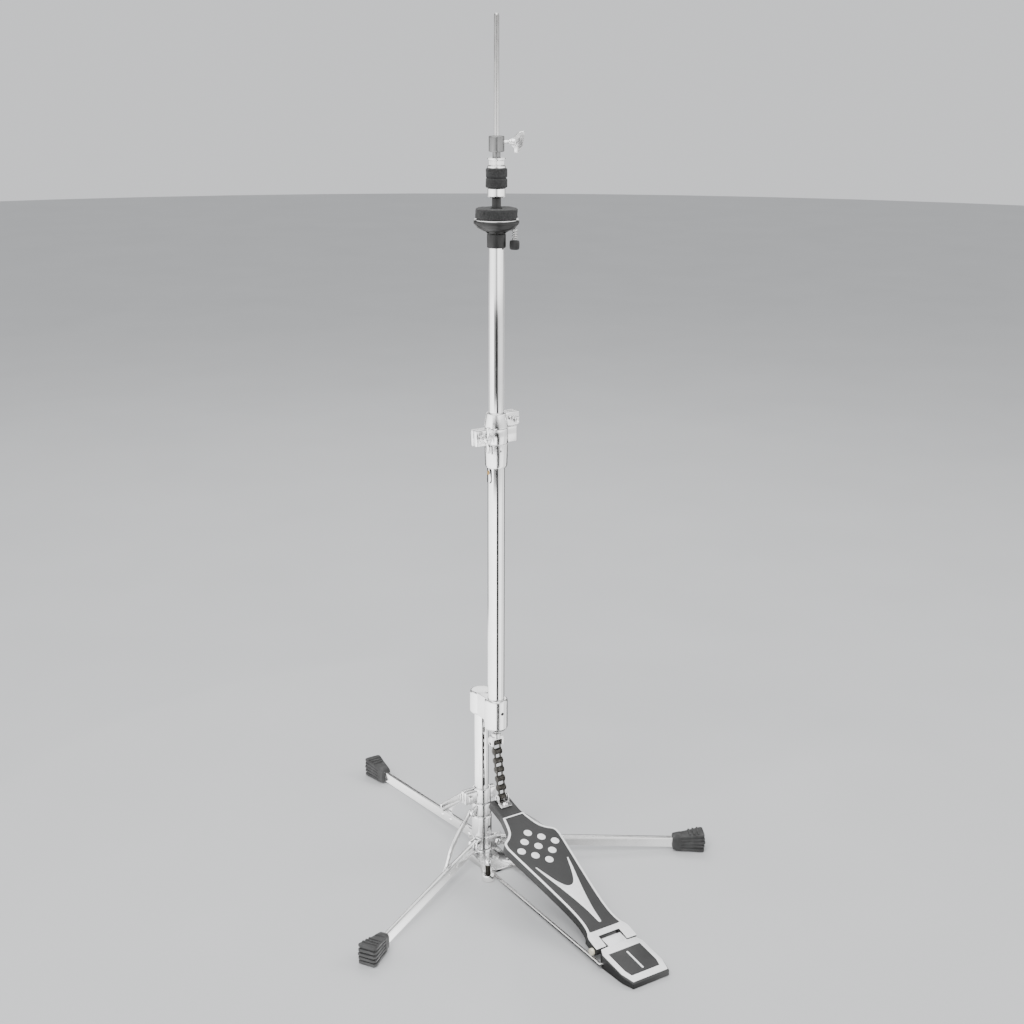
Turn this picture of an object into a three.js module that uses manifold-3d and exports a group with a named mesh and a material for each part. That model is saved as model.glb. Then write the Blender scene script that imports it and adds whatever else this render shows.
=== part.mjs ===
// Hi-hat stand with a flat folding base, in millimetres, +Z up.
// The origin is on the pillar axis at floor level. The heel of the pedal points to -Y.
// The pull rod, the tubes and the cymbal seat stand on a second axis, columnOffset in front of the pillar.
import * as THREE from "three";
import { mergeVertices } from "three/addons/utils/BufferGeometryUtils.js";
import Module from "manifold-3d";

const wasm = await Module();
wasm.setup();

// ---------------------------------------------------------------- driving dimensions

const gap = 0.3; // clearance between pieces that touch, slide or turn in each other
const sides = 18; // facets round a turned piece
const fineSides = 12; // facets round a small turned piece
const degree = Math.PI / 180;

const pillarRadius = 9.55;
const tubeWall = 1.2;
const columnOffset = 36;
const lowerTubeRadius = 11.1;
const lowerTubeLength = 389;
const upperTubeRadius = 9.55;
const upperTubeLength = 352;
const tubeOverlap = 80; // how far the upper tube reaches into the lower one
const rodRadius = 3.1;
const rodAboveClutch = 143;

const blockBottom = 207;
const blockHeight = 45;
const blockFloor = 4;
const blockWall = 4.2;
const pillarLobeDrop = 33; // height of the lobe that holds the pillar

const coneHeight = 32;
const clampBandHeight = 20;
const clampBandAbove = 6; // the band starts this far above the end of the lower tube
const clampWall = 4.1;
const clampEarReach = 35;
const clampEarThickness = 7.5;
const clampSplit = 1;
const memoryLockHeight = 19.5;

const seatCollarRadius = 11.8;
const seatCollarHeight = 21;
const seatCupRadius = 28.4;
const seatCupHeight = 12.5;
const seatFloor = 3.4;
const seatWasherRadius = 27.6;
const seatWasherHeight = 1.4;
const seatFeltRadius = 26;
const seatFeltHeight = 13.3;
const stemRadius = 5.7;
const stemProud = 12.2; // how far the stem stands above the felt
const clutchLift = 12.9; // free height between the seat felt and the clutch
const facing = -34 * degree; // direction of the clutch bolt and the tilt screw

const clutchNutRadius = 11.1;
const clutchNutHeight = 11.2;
const clutchFeltRadius = 13.1;
const clutchFeltHeight = 11.7;
const lockNutHeight = 12.4;
const lockNutRadius = 11.4;
const clutchNeckHeight = 6.5;
const clutchNeckRadius = 4.85;
const clutchBodyRadius = 9.6;
const clutchBodyHeight = 19;
const clutchSleeveRadius = 8;

const tiltScrewReach = 22.4;
const tiltScrewRadius = 2.1;
const tiltKnobRadius = 6.2;
const tiltKnobHeight = 11.5;
const tiltKnobDrop = 11.8; // knob top below the bottom of the seat cup

const baseBarrelWall = 4.45;
const baseBarrelHeight = 14;
const basePlateFront = 52;
const basePlateHeight = 12;
const spurReach = 62;
const spurSpread = 30;
const spurBossRadius = 8.6;
const spurBossHeight = 9;
const spurRadius = 3.6;

const legPivotOffset = 12.45; // from the pillar's surface to the leg pins
const legPivotHeight = 25;
const legSlope = 2.9 * degree;
const legHeight = 15;
const legThickness = 6;
const legLength = 268; // from the pivot to the end inside the foot
const legPinRadius = 2.5;
const strutFootReach = 78; // from the leg pivot to the rivet of the strut
const secondRivetReach = 56;
const footLength = 46;
const footInsert = 20; // how far the leg reaches into the foot
const footHeight = 29.5;
const footHalfWidth = 13.5;
const footInnerHalfWidth = 7.5;

const pillarCollarBottom = 33.4;
const pillarCollarHeight = 31.4;
const pillarCollarWall = 4.25;
const strutCollarBottom = 67;
const strutCollarHeight = 17;
const strutCollarWall = 3.65;
const strutPinOffset = 16.45; // from the pillar's surface to the strut pins
const strutPinRadius = 2;
const strutThickness = 3;
const strutWidth = 10;
const collarClampHeight = 21;
const collarClampEarReach = 30;

const hingeY = -305; // pin of the footboard, from the pillar
const hingeZ = 15.3;
const hingePinRadius = 2.4;
const knuckleRadius = 6;
const boardSlope = 17.9 * degree;
const boardTop = 120.8; // height of the board's upper plane above the pillar axis
const boardThickness = 12;
const boardSkin = 4;
const tongueHalfWidth = 14.6;
const notchHalfWidth = 16.6;
const boardEndHalfWidth = 31.4;
const heelFrontHeight = 20.8;
const heelRearHeight = 9.3;
const heelFront = -313.4;
const heelRear = -381.5;
const radiusRodRadius = 2.2;

const chainPitch = 12.7;
const chainLinks = 6;
const chainWidth = 12.5;
const chainPlateHeight = 9;
const chainPinY = -51; // lower end of the chain, on the footboard
const chainPinZ = 112.5;

const baseBarrelRadius = pillarRadius + baseBarrelWall;
const legPivotReach = pillarRadius + legPivotOffset;
const pillarCollarRadius = pillarRadius + pillarCollarWall;
const strutCollarRadius = pillarRadius + strutCollarWall;
const strutPinReach = pillarRadius + strutPinOffset;

// ---------------------------------------------------------------- colours

const chrome = { color: 0xe8e8ea, roughness: 0.12, metalness: 1 };
const brushed = { color: 0xa8a8aa, roughness: 0.4, metalness: 1 };
const steel = { color: 0xcfcfd2, roughness: 0.25, metalness: 1 };
const darkSteel = { color: 0x77756e, roughness: 0.45, metalness: 1 };
const darkPaint = { color: 0x55565a, roughness: 0.55, metalness: 0.3 };
const rubber = { color: 0x3a3a3b, roughness: 0.85, metalness: 0 };
const felt = { color: 0x2f2f31, roughness: 1, metalness: 0 };
const blackPlastic = { color: 0x252527, roughness: 0.5, metalness: 0 };
const whitePlastic = { color: 0xe6e4da, roughness: 0.6, metalness: 0 };

// ---------------------------------------------------------------- solids

/** A closed geometry as a manifold solid. */
function solidOf(geometry) {
  const bare = geometry.clone();
  bare.deleteAttribute("normal");
  bare.deleteAttribute("uv");
  const merged = mergeVertices(bare, 1e-4);
  return new wasm.Manifold(
    new wasm.Mesh({
      numProp: 3,
      vertProperties: new Float32Array(merged.attributes.position.array),
      triVerts: new Uint32Array(merged.index.array),
    }),
  );
}

/** A manifold solid as a geometry. */
function geometryOf(solid) {
  const mesh = solid.getMesh();
  const geometry = new THREE.BufferGeometry();
  geometry.setAttribute("position", new THREE.BufferAttribute(mesh.vertProperties, 3));
  geometry.setIndex(new THREE.BufferAttribute(mesh.triVerts, 1));
  geometry.computeVertexNormals();
  return geometry;
}

function join(...parts) {
  return geometryOf(parts.map(solidOf).reduce((whole, part) => whole.add(part)));
}

function cut(body, ...tools) {
  return geometryOf(tools.map(solidOf).reduce((rest, tool) => rest.subtract(tool), solidOf(body)));
}

function common(a, b) {
  return geometryOf(solidOf(a).intersect(solidOf(b)));
}

/** Moves a geometry after turning it about X, Y and Z. */
function at(geometry, x, y, z, turnX = 0, turnY = 0, turnZ = 0) {
  const turned = geometry.clone();
  turned.rotateX(turnX);
  turned.rotateY(turnY);
  turned.rotateZ(turnZ);
  turned.translate(x, y, z);
  return turned;
}

/** A solid turned about Z from [radius, height] points that start and end on the axis. */
function turned(points, count = sides) {
  const profile = points.map(([r, z]) => new THREE.Vector2(r, z));
  if (THREE.ShapeUtils.area(profile) < 0) profile.reverse();
  return new THREE.LatheGeometry(profile, count).rotateX(Math.PI / 2);
}

/** A ring turned about Z from [radius, height] points off the axis. */
function turnedRing(points, count = sides) {
  const profile = points.map(([r, z]) => new THREE.Vector2(r, z));
  if (THREE.ShapeUtils.area(profile) < 0) profile.reverse();
  profile.push(profile[0].clone());
  return new THREE.LatheGeometry(profile, count).rotateX(Math.PI / 2);
}

function rod(radius, bottom, top, count = fineSides) {
  return turned([[0, bottom], [radius, bottom], [radius, top], [0, top]], count);
}

function tube(outer, inner, bottom, top, count = sides) {
  return turnedRing([[inner, bottom], [outer, bottom], [outer, top], [inner, top]], count);
}

/** The radius of a faceted bore that clears a shaft of the given radius all round. */
function bore(radius, count = sides, clearance = gap) {
  return (radius + clearance) / Math.cos(Math.PI / count);
}

/** A box between two corners. */
function block(x0, x1, y0, y1, z0, z1) {
  const box = new THREE.BoxGeometry(x1 - x0, y1 - y0, z1 - z0);
  return at(box, (x0 + x1) / 2, (y0 + y1) / 2, (z0 + z1) / 2);
}

/** A plate of the given outline in XY, standing on Z = 0. */
function plate(points, height) {
  const outline = points.map(([x, y]) => new THREE.Vector2(x, y));
  const shape = new THREE.Shape(outline);
  return new THREE.ExtrudeGeometry(shape, { depth: height, bevelEnabled: false });
}

/** A plate whose outline lies in the plane of [reach, height] and which is centred on that plane. */
function upright(points, thickness) {
  return at(plate(points, thickness), 0, thickness / 2, 0, Math.PI / 2);
}

/** A round bar along Y, centred on the given point. */
function crossBar(radius, x, z, y0, y1, count = fineSides) {
  return at(rod(radius, 0, y1 - y0, count), x, y1, z, Math.PI / 2);
}

/** A round bar along X. */
function sideBar(radius, y, z, x0, x1, count = fineSides) {
  return at(rod(radius, 0, x1 - x0, count), x0, y, z, 0, Math.PI / 2);
}

/** A bar of round section along a path of points. */
function bentBar(points, radius, steps, count = 8) {
  const smooth = new THREE.CatmullRomCurve3(points, false, "centripetal");
  const section = new THREE.Shape();
  section.absarc(0, 0, radius, 0, 2 * Math.PI);
  return new THREE.ExtrudeGeometry(section, {
    steps,
    curveSegments: count / 2,
    extrudePath: smooth,
  });
}

/** A coil spring about Z. */
function coil(radius, wire, bottom, top, turns, stepsPerTurn = 8) {
  class Helix extends THREE.Curve {
    getPoint(t, target = new THREE.Vector3()) {
      const angle = 2 * Math.PI * turns * t;
      const height = bottom + wire + (top - bottom - 2 * wire) * t;
      return target.set(radius * Math.cos(angle), radius * Math.sin(angle), height);
    }
  }
  const section = new THREE.Shape();
  section.absarc(0, 0, wire, 0, 2 * Math.PI);
  return new THREE.ExtrudeGeometry(section, {
    steps: turns * stepsPerTurn,
    curveSegments: 3,
    extrudePath: new Helix(),
  });
}

function mesh(name, geometry, look) {
  const made = new THREE.Mesh(geometry, new THREE.MeshStandardMaterial(look));
  made.name = name;
  return made;
}

// ---------------------------------------------------------------- heights along the column

const lowerTubeBottom = blockBottom + blockFloor + gap;
const lowerTubeTop = lowerTubeBottom + lowerTubeLength;
const bandBottom = lowerTubeTop + clampBandAbove;
const bandTop = bandBottom + clampBandHeight;
const coneBottom = bandBottom - coneHeight;
const memoryLockBottom = bandTop + gap;
const upperTubeBottom = lowerTubeTop - tubeOverlap;
const upperTubeTop = upperTubeBottom + upperTubeLength;
const seatCupBottom = upperTubeTop + gap;
const seatCupTop = seatCupBottom + seatFloor + seatCupHeight;
const seatWasherTop = seatCupTop + gap + seatWasherHeight;
const seatFeltTop = seatWasherTop + gap + seatFeltHeight;
const clutchNutBottom = seatFeltTop + clutchLift;
const lowerFeltBottom = clutchNutBottom + clutchNutHeight + gap;
const upperFeltBottom = lowerFeltBottom + clutchFeltHeight + gap;
const lockNutBottom = upperFeltBottom + clutchFeltHeight + gap;
const neckBottom = lockNutBottom + lockNutHeight;
const clutchBodyBottom = neckBottom + clutchNeckHeight;
const clutchBodyTop = clutchBodyBottom + clutchBodyHeight;
const rodTop = clutchBodyTop + rodAboveClutch;

const lowerTubeBore = lowerTubeRadius - tubeWall;
const upperTubeBore = upperTubeRadius - tubeWall;
const blockBoreRadius = bore(lowerTubeRadius);
const pillarTop = blockBottom + blockHeight - blockFloor;

const couplerBottom = 322;
const couplerHeight = 38;
const couplerRadius = 6;
const springCupHeight = 4;
const springTop = 286;
const springNutHeight = 7;
const yokePinZ = chainPinZ + Math.sqrt((chainLinks * chainPitch) ** 2 - (chainPinY + columnOffset) ** 2);
const yokeTop = yokePinZ + 13.8;
const yokePinRadius = 1.8;

// ---------------------------------------------------------------- fixed frame

/** The casting that holds the column beside the pillar: two lobes joined by a web. */
function offsetBlock() {
  const top = blockBottom + blockHeight;
  const lobe = blockBoreRadius + blockWall;
  const chamfer = 3;
  const columnLobe = at(
    turned([
      [0, blockBottom],
      [lobe - chamfer, blockBottom],
      [lobe, blockBottom + chamfer],
      [lobe, top - chamfer / 2],
      [lobe - chamfer / 2, top],
      [0, top],
    ]),
    0,
    -columnOffset,
    0,
  );
  const pillarLobe = turned([
    [0, top - pillarLobeDrop],
    [lobe - chamfer, top - pillarLobeDrop],
    [lobe, top - pillarLobeDrop + chamfer],
    [lobe, top - chamfer / 2],
    [lobe - chamfer / 2, top],
    [0, top],
  ]);
  const web = block(-lobe * 0.86, lobe * 0.86, -columnOffset, 0, top - pillarLobeDrop, top - 0.6);
  const columnBore = at(rod(blockBoreRadius, blockBottom + blockFloor, top + 1, sides), 0, -columnOffset, 0);
  const rodHole = at(rod(rodRadius + 2, blockBottom - 1, blockBottom + blockFloor + 1), 0, -columnOffset, 0);
  const pillarBore = rod(bore(pillarRadius), top - pillarLobeDrop - 1, pillarTop, sides);
  const screwHole = crossBar(2, 0, blockBottom + 26, -columnOffset - lobe - 1, -columnOffset - lobe + 3);
  return cut(join(columnLobe, pillarLobe, web), columnBore, rodHole, pillarBore, screwHole);
}

/** Half planes of the clamp band: the rear half carries the cone, the front half is the jaw. */
function clampOutline() {
  const outer = lowerTubeRadius + gap + clampWall;
  const band = tube(outer, bore(lowerTubeRadius), bandBottom, bandTop);
  const halfEar = clampEarThickness + clampSplit / 2;
  const ear = block(-clampEarReach, -outer + 3, -halfEar, halfEar, bandBottom, bandTop);
  const lug = block(outer - 3, outer + 12, -halfEar, halfEar, bandBottom, bandTop);
  return { band, ear, lug, outer };
}

const clampBoltX = -24;
const clampBoltZ = bandBottom + clampBandHeight / 2;
const clampBoltRadius = 2.8;

function heightClamp() {
  const { band, ear, lug, outer } = clampOutline();
  const inner = bore(lowerTubeRadius);
  const cone = turnedRing([
    [inner, coneBottom],
    [lowerTubeRadius + 2, coneBottom],
    [lowerTubeRadius + 3.2, coneBottom + 2.5],
    [outer - 0.3, bandBottom],
    [inner, bandBottom],
  ]);
  const front = block(-60, 60, -60, clampSplit / 2, bandBottom + 0.01, bandTop + 1);
  const rear = cut(join(band, ear, lug), front);
  const boltHole = crossBar(bore(clampBoltRadius, fineSides), clampBoltX, clampBoltZ, -1, 20);
  const slit = block(-1, 1, -outer - 1, 0, bandBottom - 16, bandBottom + 1);
  const screwHole = crossBar(1.6, 5, bandBottom - 14, -outer - 1, -lowerTubeRadius - 1);
  return cut(join(rear, cone), boltHole, slit, screwHole);
}

function heightClampJaw() {
  const { band, ear, lug } = clampOutline();
  const rear = block(-60, 60, -clampSplit / 2, 60, bandBottom - 1, bandTop + 1);
  const under = block(-60, 60, -60, 60, bandBottom - 1, bandBottom + gap);
  const boltHole = crossBar(bore(clampBoltRadius, fineSides), clampBoltX, clampBoltZ, -20, 1);
  return cut(join(band, ear, lug), rear, under, boltHole);
}

/** The foot of the pillar: a barrel, a sloping front plate and two bosses for the spurs. */
function baseCasting() {
  const barrel = rod(baseBarrelRadius, 0, baseBarrelHeight, sides);
  const wedge = at(
    plate([[0, 0], [basePlateFront, 0], [basePlateFront, 4], [8, basePlateHeight], [0, basePlateHeight]], 44),
    22,
    0,
    0,
    Math.PI / 2,
    0,
    -Math.PI / 2,
  );
  const arm = (side) => {
    const half = spurBossRadius - 1.5;
    const outline = [
      [side * 4, -8],
      [side * (4 + half), -8],
      [side * (spurSpread + half), -spurReach],
      [side * (spurSpread - half), -spurReach],
      [side * 4, -30],
    ];
    return plate(outline, 7);
  };
  const boss = (side) => at(rod(spurBossRadius, 0, spurBossHeight, sides), side * spurSpread, -spurReach, 0);
  const solid = join(barrel, wedge, arm(1), arm(-1), boss(1), boss(-1));
  const socket = rod(bore(pillarRadius), 3, baseBarrelHeight + 1, sides);
  const hole = (side) => at(rod(bore(spurRadius, fineSides), -1, 20), side * spurSpread, -spurReach, 0);
  return cut(solid, socket, hole(1), hole(-1), radiusRodChannel());
}

const radiusRodSteps = 30;
const radiusRodHeelHeight = 7;

function radiusRodPath() {
  const height = 4.4;
  const heelX = boardEndHalfWidth + 3.6;
  const half = [
    [8, -38, height],
    [15, -42, height],
    [18.5, -56, height],
    [20.5, -74, height + 0.4],
    [heelX - 2, heelFront + 22, radiusRodHeelHeight],
    [heelX, heelFront - 6, radiusRodHeelHeight],
    [heelX - 1.2, heelFront - 10.5, radiusRodHeelHeight],
    [heelX - 6, heelFront - 12, radiusRodHeelHeight],
  ];
  const right = half.map(([x, y, z]) => new THREE.Vector3(x, y, z));
  const left = half.map(([x, y, z]) => new THREE.Vector3(-x, y, z)).reverse();
  return [...left, ...right];
}

/** The room that the radius rod needs in the pieces that hold it. */
function radiusRodChannel() {
  return bentBar(radiusRodPath(), bore(radiusRodRadius, 8), radiusRodSteps);
}

/** The collar with three pairs of cheeks for the legs. */
function legSpider() {
  const bottom = baseBarrelHeight + gap + 1;
  const top = pillarCollarBottom - gap;
  const inner = bore(pillarRadius);
  const ring = tube(legPivotReach - legHeight / 2 - 1.2, inner, bottom, top);
  const half = legThickness / 2 + gap + 0.1;
  const wall = 3;
  const outline = [
    [inner + 1, bottom + 3],
    [legPivotReach + 4, bottom + 3],
    [legPivotReach + 7, bottom + 8],
    [legPivotReach + 5, top],
    [inner + 1, top],
  ];
  const cheek = (offset) => at(upright(outline, wall), 0, offset, 0);
  const cheeks = [90, 210, 330].flatMap((angle) =>
    [-half - wall / 2, half + wall / 2].map((offset) => at(cheek(offset), 0, 0, 0, 0, 0, angle * degree)),
  );
  const pinHole = crossBar(bore(legPinRadius, fineSides), legPivotReach, legPivotHeight, -12, 12);
  const pinHoles = [90, 210, 330].map((angle) => at(pinHole, 0, 0, 0, 0, 0, angle * degree));
  const core = rod(inner, bottom - 1, top + 1, sides);
  return cut(join(ring, ...cheeks), core, ...pinHoles);
}

function pillarCollar() {
  const top = pillarCollarBottom + pillarCollarHeight;
  const ring = turnedRing([
    [bore(pillarRadius), pillarCollarBottom],
    [pillarCollarRadius - 0.8, pillarCollarBottom],
    [pillarCollarRadius, pillarCollarBottom + 2],
    [pillarCollarRadius, top - 1.5],
    [pillarCollarRadius - 1.5, top],
    [bore(pillarRadius), top],
  ]);
  const z = pillarCollarBottom + pillarCollarHeight / 2;
  return cut(ring, crossBar(1.8, 0, z, -pillarCollarRadius - 1, -pillarCollarRadius + 3));
}

/** The wedge under the heel, with the middle knuckle of the hinge. */
function heelPlate() {
  const length = heelFront - heelRear;
  const rear = [[heelRear, heelRearHeight], [heelRear, 0]];
  const side = plate([...rear, [heelFront, 0], [heelFront, heelFrontHeight]], 90);
  const profile = at(side, -45, 0, 0, Math.PI / 2, 0, Math.PI / 2);
  const outline = plate(
    [
      [-27.5, heelRear],
      [27.5, heelRear],
      [32.4, heelRear + 0.27 * length],
      [32.4, heelFront - 0.14 * length],
      [27.5, heelFront],
      [-27.5, heelFront],
      [-32.4, heelFront - 0.14 * length],
      [-32.4, heelRear + 0.27 * length],
    ],
    40,
  );
  const wedge = common(profile, outline);
  const knuckle = sideBar(knuckleRadius, hingeY, hingeZ, -tongueHalfWidth, tongueHalfWidth);
  const web = block(-tongueHalfWidth, tongueHalfWidth, heelFront - 2, hingeY, hingeZ - 4.6, hingeZ + 5.2);
  const pinHole = sideBar(bore(hingePinRadius, fineSides), hingeY, hingeZ, -60, 60);
  return cut(join(wedge, knuckle, web), pinHole, radiusRodChannel());
}

/** The pin of the hinge, with a round head at the left. */
function heelPin() {
  const reach = boardEndHalfWidth + 1.5;
  const shaft = sideBar(hingePinRadius, hingeY, hingeZ, -reach - 1, reach);
  const head = sideBar(4.6, hingeY, hingeZ, -reach - 4, -reach + 0.6, 6);
  return join(shaft, head);
}

// ---------------------------------------------------------------- seat and upper tube

/** The black dish under the cymbal, with the collar that slips over the tube. */
function seatCup() {
  const collar = seatCollarRadius;
  const bottom = seatCupBottom + seatFloor;
  const profile = turnedRing([
    [bore(rodRadius, sides, 1.2), seatCupBottom],
    [collar, seatCupBottom],
    [collar, bottom],
    [18.5, bottom + 0.4],
    [24.4, bottom + 3.6],
    [seatCupRadius, bottom + 9.4],
    [seatCupRadius, seatCupTop],
    [bore(stemRadius), seatCupTop],
    [bore(stemRadius), bottom + 1],
    [bore(rodRadius, sides, 1.2), bottom + 1],
  ]);
  const screw = at(rod(bore(tiltScrewRadius, fineSides), 0, 40), tiltScrewReach, 0, seatCupBottom);
  return cut(profile, screw);
}

function tubeCollar() {
  const top = seatCupBottom - gap - 0.2;
  return tube(seatCollarRadius, bore(upperTubeRadius), seatCupBottom + seatFloor - seatCollarHeight, top);
}

// ---------------------------------------------------------------- rod and clutch

/** The fork that joins the lower rod to the chain. */
function chainYoke() {
  const half = 10;
  const inner = chainWidth / 2 + gap;
  const depth = 5;
  const crown = yokePinZ + 5;
  const head = join(
    rod(6.4, crown + 2, yokeTop),
    block(-half, half, -depth, depth, crown, crown + 5),
  );
  const leg = (side) => {
    const outline = [
      [side * inner, yokePinZ - 4],
      [side * (inner + 2.4), yokePinZ - 4],
      [side * half, crown + 1],
      [side * inner, crown + 1],
    ];
    const flat = plate(outline, 2 * depth);
    return at(flat, 0, depth, 0, Math.PI / 2);
  };
  const socket = rod(bore(rodRadius, fineSides), crown + 2, yokeTop + 1);
  const pinHole = sideBar(bore(yokePinRadius, fineSides), 0, yokePinZ, -12, 12);
  return cut(join(head, leg(1), leg(-1)), socket, pinHole);
}

/** A roller chain: rollers on pins, joined by pairs of waisted plates, inner and outer in turn. */
function driveChain() {
  const total = chainPitch * chainLinks;
  const radius = chainPlateHeight / 2;
  const plateThickness = 1.3;
  const pieces = [];
  for (let i = 0; i <= chainLinks; i++) {
    const z = -i * chainPitch;
    pieces.push(sideBar(3.9, 0, z, -3.4, 3.4, 8));
    pieces.push(sideBar(yokePinRadius, 0, z, -chainWidth / 2, chainWidth / 2, 6));
  }
  for (let i = 0; i < chainLinks; i++) {
    const z = -i * chainPitch;
    const offset = i % 2 ? 2.6 : 4;
    for (const side of [-1, 1]) {
      const outline = new THREE.Shape();
      outline.absarc(0, 0, radius, 0, Math.PI, false);
      outline.lineTo(-radius * 0.62, -chainPitch / 2);
      outline.absarc(0, -chainPitch, radius, Math.PI, 2 * Math.PI, false);
      outline.lineTo(radius * 0.62, -chainPitch / 2);
      const link = new THREE.ExtrudeGeometry(outline, {
        depth: plateThickness,
        bevelEnabled: false,
        curveSegments: 3,
      });
      const standing = at(link, 0, 0, 0, Math.PI / 2, 0, Math.PI / 2);
      const x = side > 0 ? offset : -offset - plateThickness;
      pieces.push(at(standing, x, 0, z));
    }
  }
  const lean = Math.asin((chainPinY + columnOffset) / total);
  return at(join(...pieces), 0, 0, yokePinZ, lean);
}

function clutchBody() {
  const boreRadius = bore(rodRadius);
  const sleeveTop = neckBottom - lockNutHeight + 2;
  const sleeveBore = bore(stemRadius);
  const boltHole = at(sideBar(2.6, 0, 0, 1, clutchBodyRadius + 2), 0, 0, clutchBoltZ, 0, 0, facing);
  const profile = turnedRing([
    [sleeveBore, clutchNutBottom + 0.4],
    [clutchSleeveRadius, clutchNutBottom + 0.4],
    [clutchSleeveRadius, sleeveTop],
    [clutchNeckRadius, sleeveTop + 1],
    [clutchNeckRadius, clutchBodyBottom],
    [clutchBodyRadius - 0.8, clutchBodyBottom],
    [clutchBodyRadius, clutchBodyBottom + 0.8],
    [clutchBodyRadius, clutchBodyTop - 0.8],
    [clutchBodyRadius - 0.8, clutchBodyTop],
    [boreRadius, clutchBodyTop],
    [boreRadius, sleeveTop - 2.4],
    [sleeveBore, sleeveTop - 3],
  ]);
  return cut(profile, boltHole);
}

const clutchBoltZ = clutchBodyBottom + 0.63 * clutchBodyHeight;

/** The knurled nut with two flanges that locks the upper felt. */
function clutchLockNut() {
  const top = neckBottom - gap;
  const wide = bore(clutchSleeveRadius);
  const narrow = bore(clutchNeckRadius);
  const sleeveTop = neckBottom - lockNutHeight + 2;
  return turnedRing([
    [wide, lockNutBottom],
    [lockNutRadius, lockNutBottom],
    [lockNutRadius, lockNutBottom + 2.4],
    [8.9, lockNutBottom + 3.4],
    [8.9, top - 3.2],
    [lockNutRadius, top - 2.2],
    [lockNutRadius, top],
    [narrow, top],
    [narrow, sleeveTop + 1.6],
    [wide, sleeveTop + 0.6],
  ]);
}

function feltRing(radius, inner, bottom, height) {
  const soft = 0.8;
  return turnedRing([
    [inner, bottom],
    [radius - soft, bottom],
    [radius, bottom + soft],
    [radius, bottom + height - soft],
    [radius - soft, bottom + height],
    [inner, bottom + height],
  ]);
}

/** The nut at the lower end of the clutch, with a chamfered lower rim. */
function clutchNut() {
  const top = clutchNutBottom + clutchNutHeight;
  const inner = bore(clutchSleeveRadius);
  return turnedRing([
    [inner, clutchNutBottom],
    [clutchNutRadius - 1.6, clutchNutBottom],
    [clutchNutRadius, clutchNutBottom + 1.2],
    [clutchNutRadius, top],
    [inner, top],
  ]);
}

/** A wing bolt along +X: shank, boss and two spreading wings in the vertical plane. */
function wingBolt({ start, neck, bossLength, shank, boss, wing, span, reach }) {
  const wings = plate(
    [
      [neck + 1, -boss * 0.7],
      [neck + bossLength * 0.7, -span],
      [neck + reach * 0.55, -span],
      [neck + reach, -span * 0.55],
      [neck + bossLength, 0],
      [neck + reach, span * 0.55],
      [neck + reach * 0.55, span],
      [neck + bossLength * 0.7, span],
      [neck + 1, boss * 0.7],
    ],
    wing,
  );
  return join(
    sideBar(shank, 0, 0, start, neck + 1, 12),
    sideBar(boss, 0, 0, neck, neck + bossLength, 12),
    at(wings, 0, wing / 2, 0, Math.PI / 2),
  );
}

function clutchWingBolt() {
  const bolt = wingBolt({
    start: rodRadius + 0.6,
    neck: 16.6,
    bossLength: 6,
    shank: 1.9,
    boss: 4.4,
    wing: 3.6,
    span: 13.2,
    reach: 18,
  });
  return at(bolt, 0, 0, clutchBoltZ, 12 * degree, 0, facing);
}

/** The bolt that draws the two halves of the height clamp together, with its wings in front. */
function heightWingBolt() {
  const halfEar = clampEarThickness + clampSplit / 2;
  const bolt = wingBolt({
    start: -halfEar - 3,
    neck: halfEar + 3.4,
    bossLength: 8,
    shank: clampBoltRadius,
    boss: 4.6,
    wing: 4,
    span: 17,
    reach: 13,
  });
  const nut = sideBar(5, 0, 0, -halfEar - 4, -halfEar - gap - 0.2, 6);
  return at(join(bolt, nut), clampBoltX, 0, clampBoltZ, 0, 0, -90 * degree);
}

/** The stop ring on the upper tube: a cone with an ear for its key bolt. */
function memoryLock() {
  const top = memoryLockBottom + memoryLockHeight;
  const inner = bore(upperTubeRadius);
  const cone = turnedRing([
    [inner, memoryLockBottom],
    [lowerTubeRadius + 4.6, memoryLockBottom],
    [upperTubeRadius + 3, top - 1],
    [upperTubeRadius + 2, top],
    [inner, top],
  ]);
  const ear = block(8, memoryEarReach, -memoryEarHalf, memoryEarHalf, memoryLockBottom + 1, top - 0.6);
  const split = block(upperTubeRadius - 1, memoryEarReach + 1, -0.5, 0.5, memoryLockBottom - 1, top + 1);
  const core = rod(inner, memoryLockBottom - 1, top + 1, sides);
  const hole = crossBar(bore(memoryBoltRadius, fineSides), memoryBoltX, memoryBoltZ, -12, 12);
  return cut(join(cone, ear), core, split, hole);
}

const memoryEarReach = 31;
const memoryEarHalf = 6.5;
const memoryBoltRadius = 2.4;
const memoryBoltX = 23;
const memoryBoltZ = memoryLockBottom + memoryLockHeight / 2;

/** A bolt across the ear, with a square key end in front and a round nut behind. */
function memoryKeyBolt() {
  const front = -memoryEarHalf;
  const shank = crossBar(memoryBoltRadius, memoryBoltX, memoryBoltZ, front - 2, memoryEarHalf + 2);
  const head = crossBar(4.2, memoryBoltX, memoryBoltZ, front - 3.4, front - gap);
  const key = crossBar(2.9, memoryBoltX, memoryBoltZ, front - 9, front - 3, 4);
  const nut = crossBar(4.6, memoryBoltX, memoryBoltZ, memoryEarHalf + gap, memoryEarHalf + 3.6, 6);
  return join(shank, head, key, nut);
}

// ---------------------------------------------------------------- footboard

const boardRise = (boardTop + Math.tan(boardSlope) * hingeY - hingeZ) * Math.cos(boardSlope);

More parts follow.
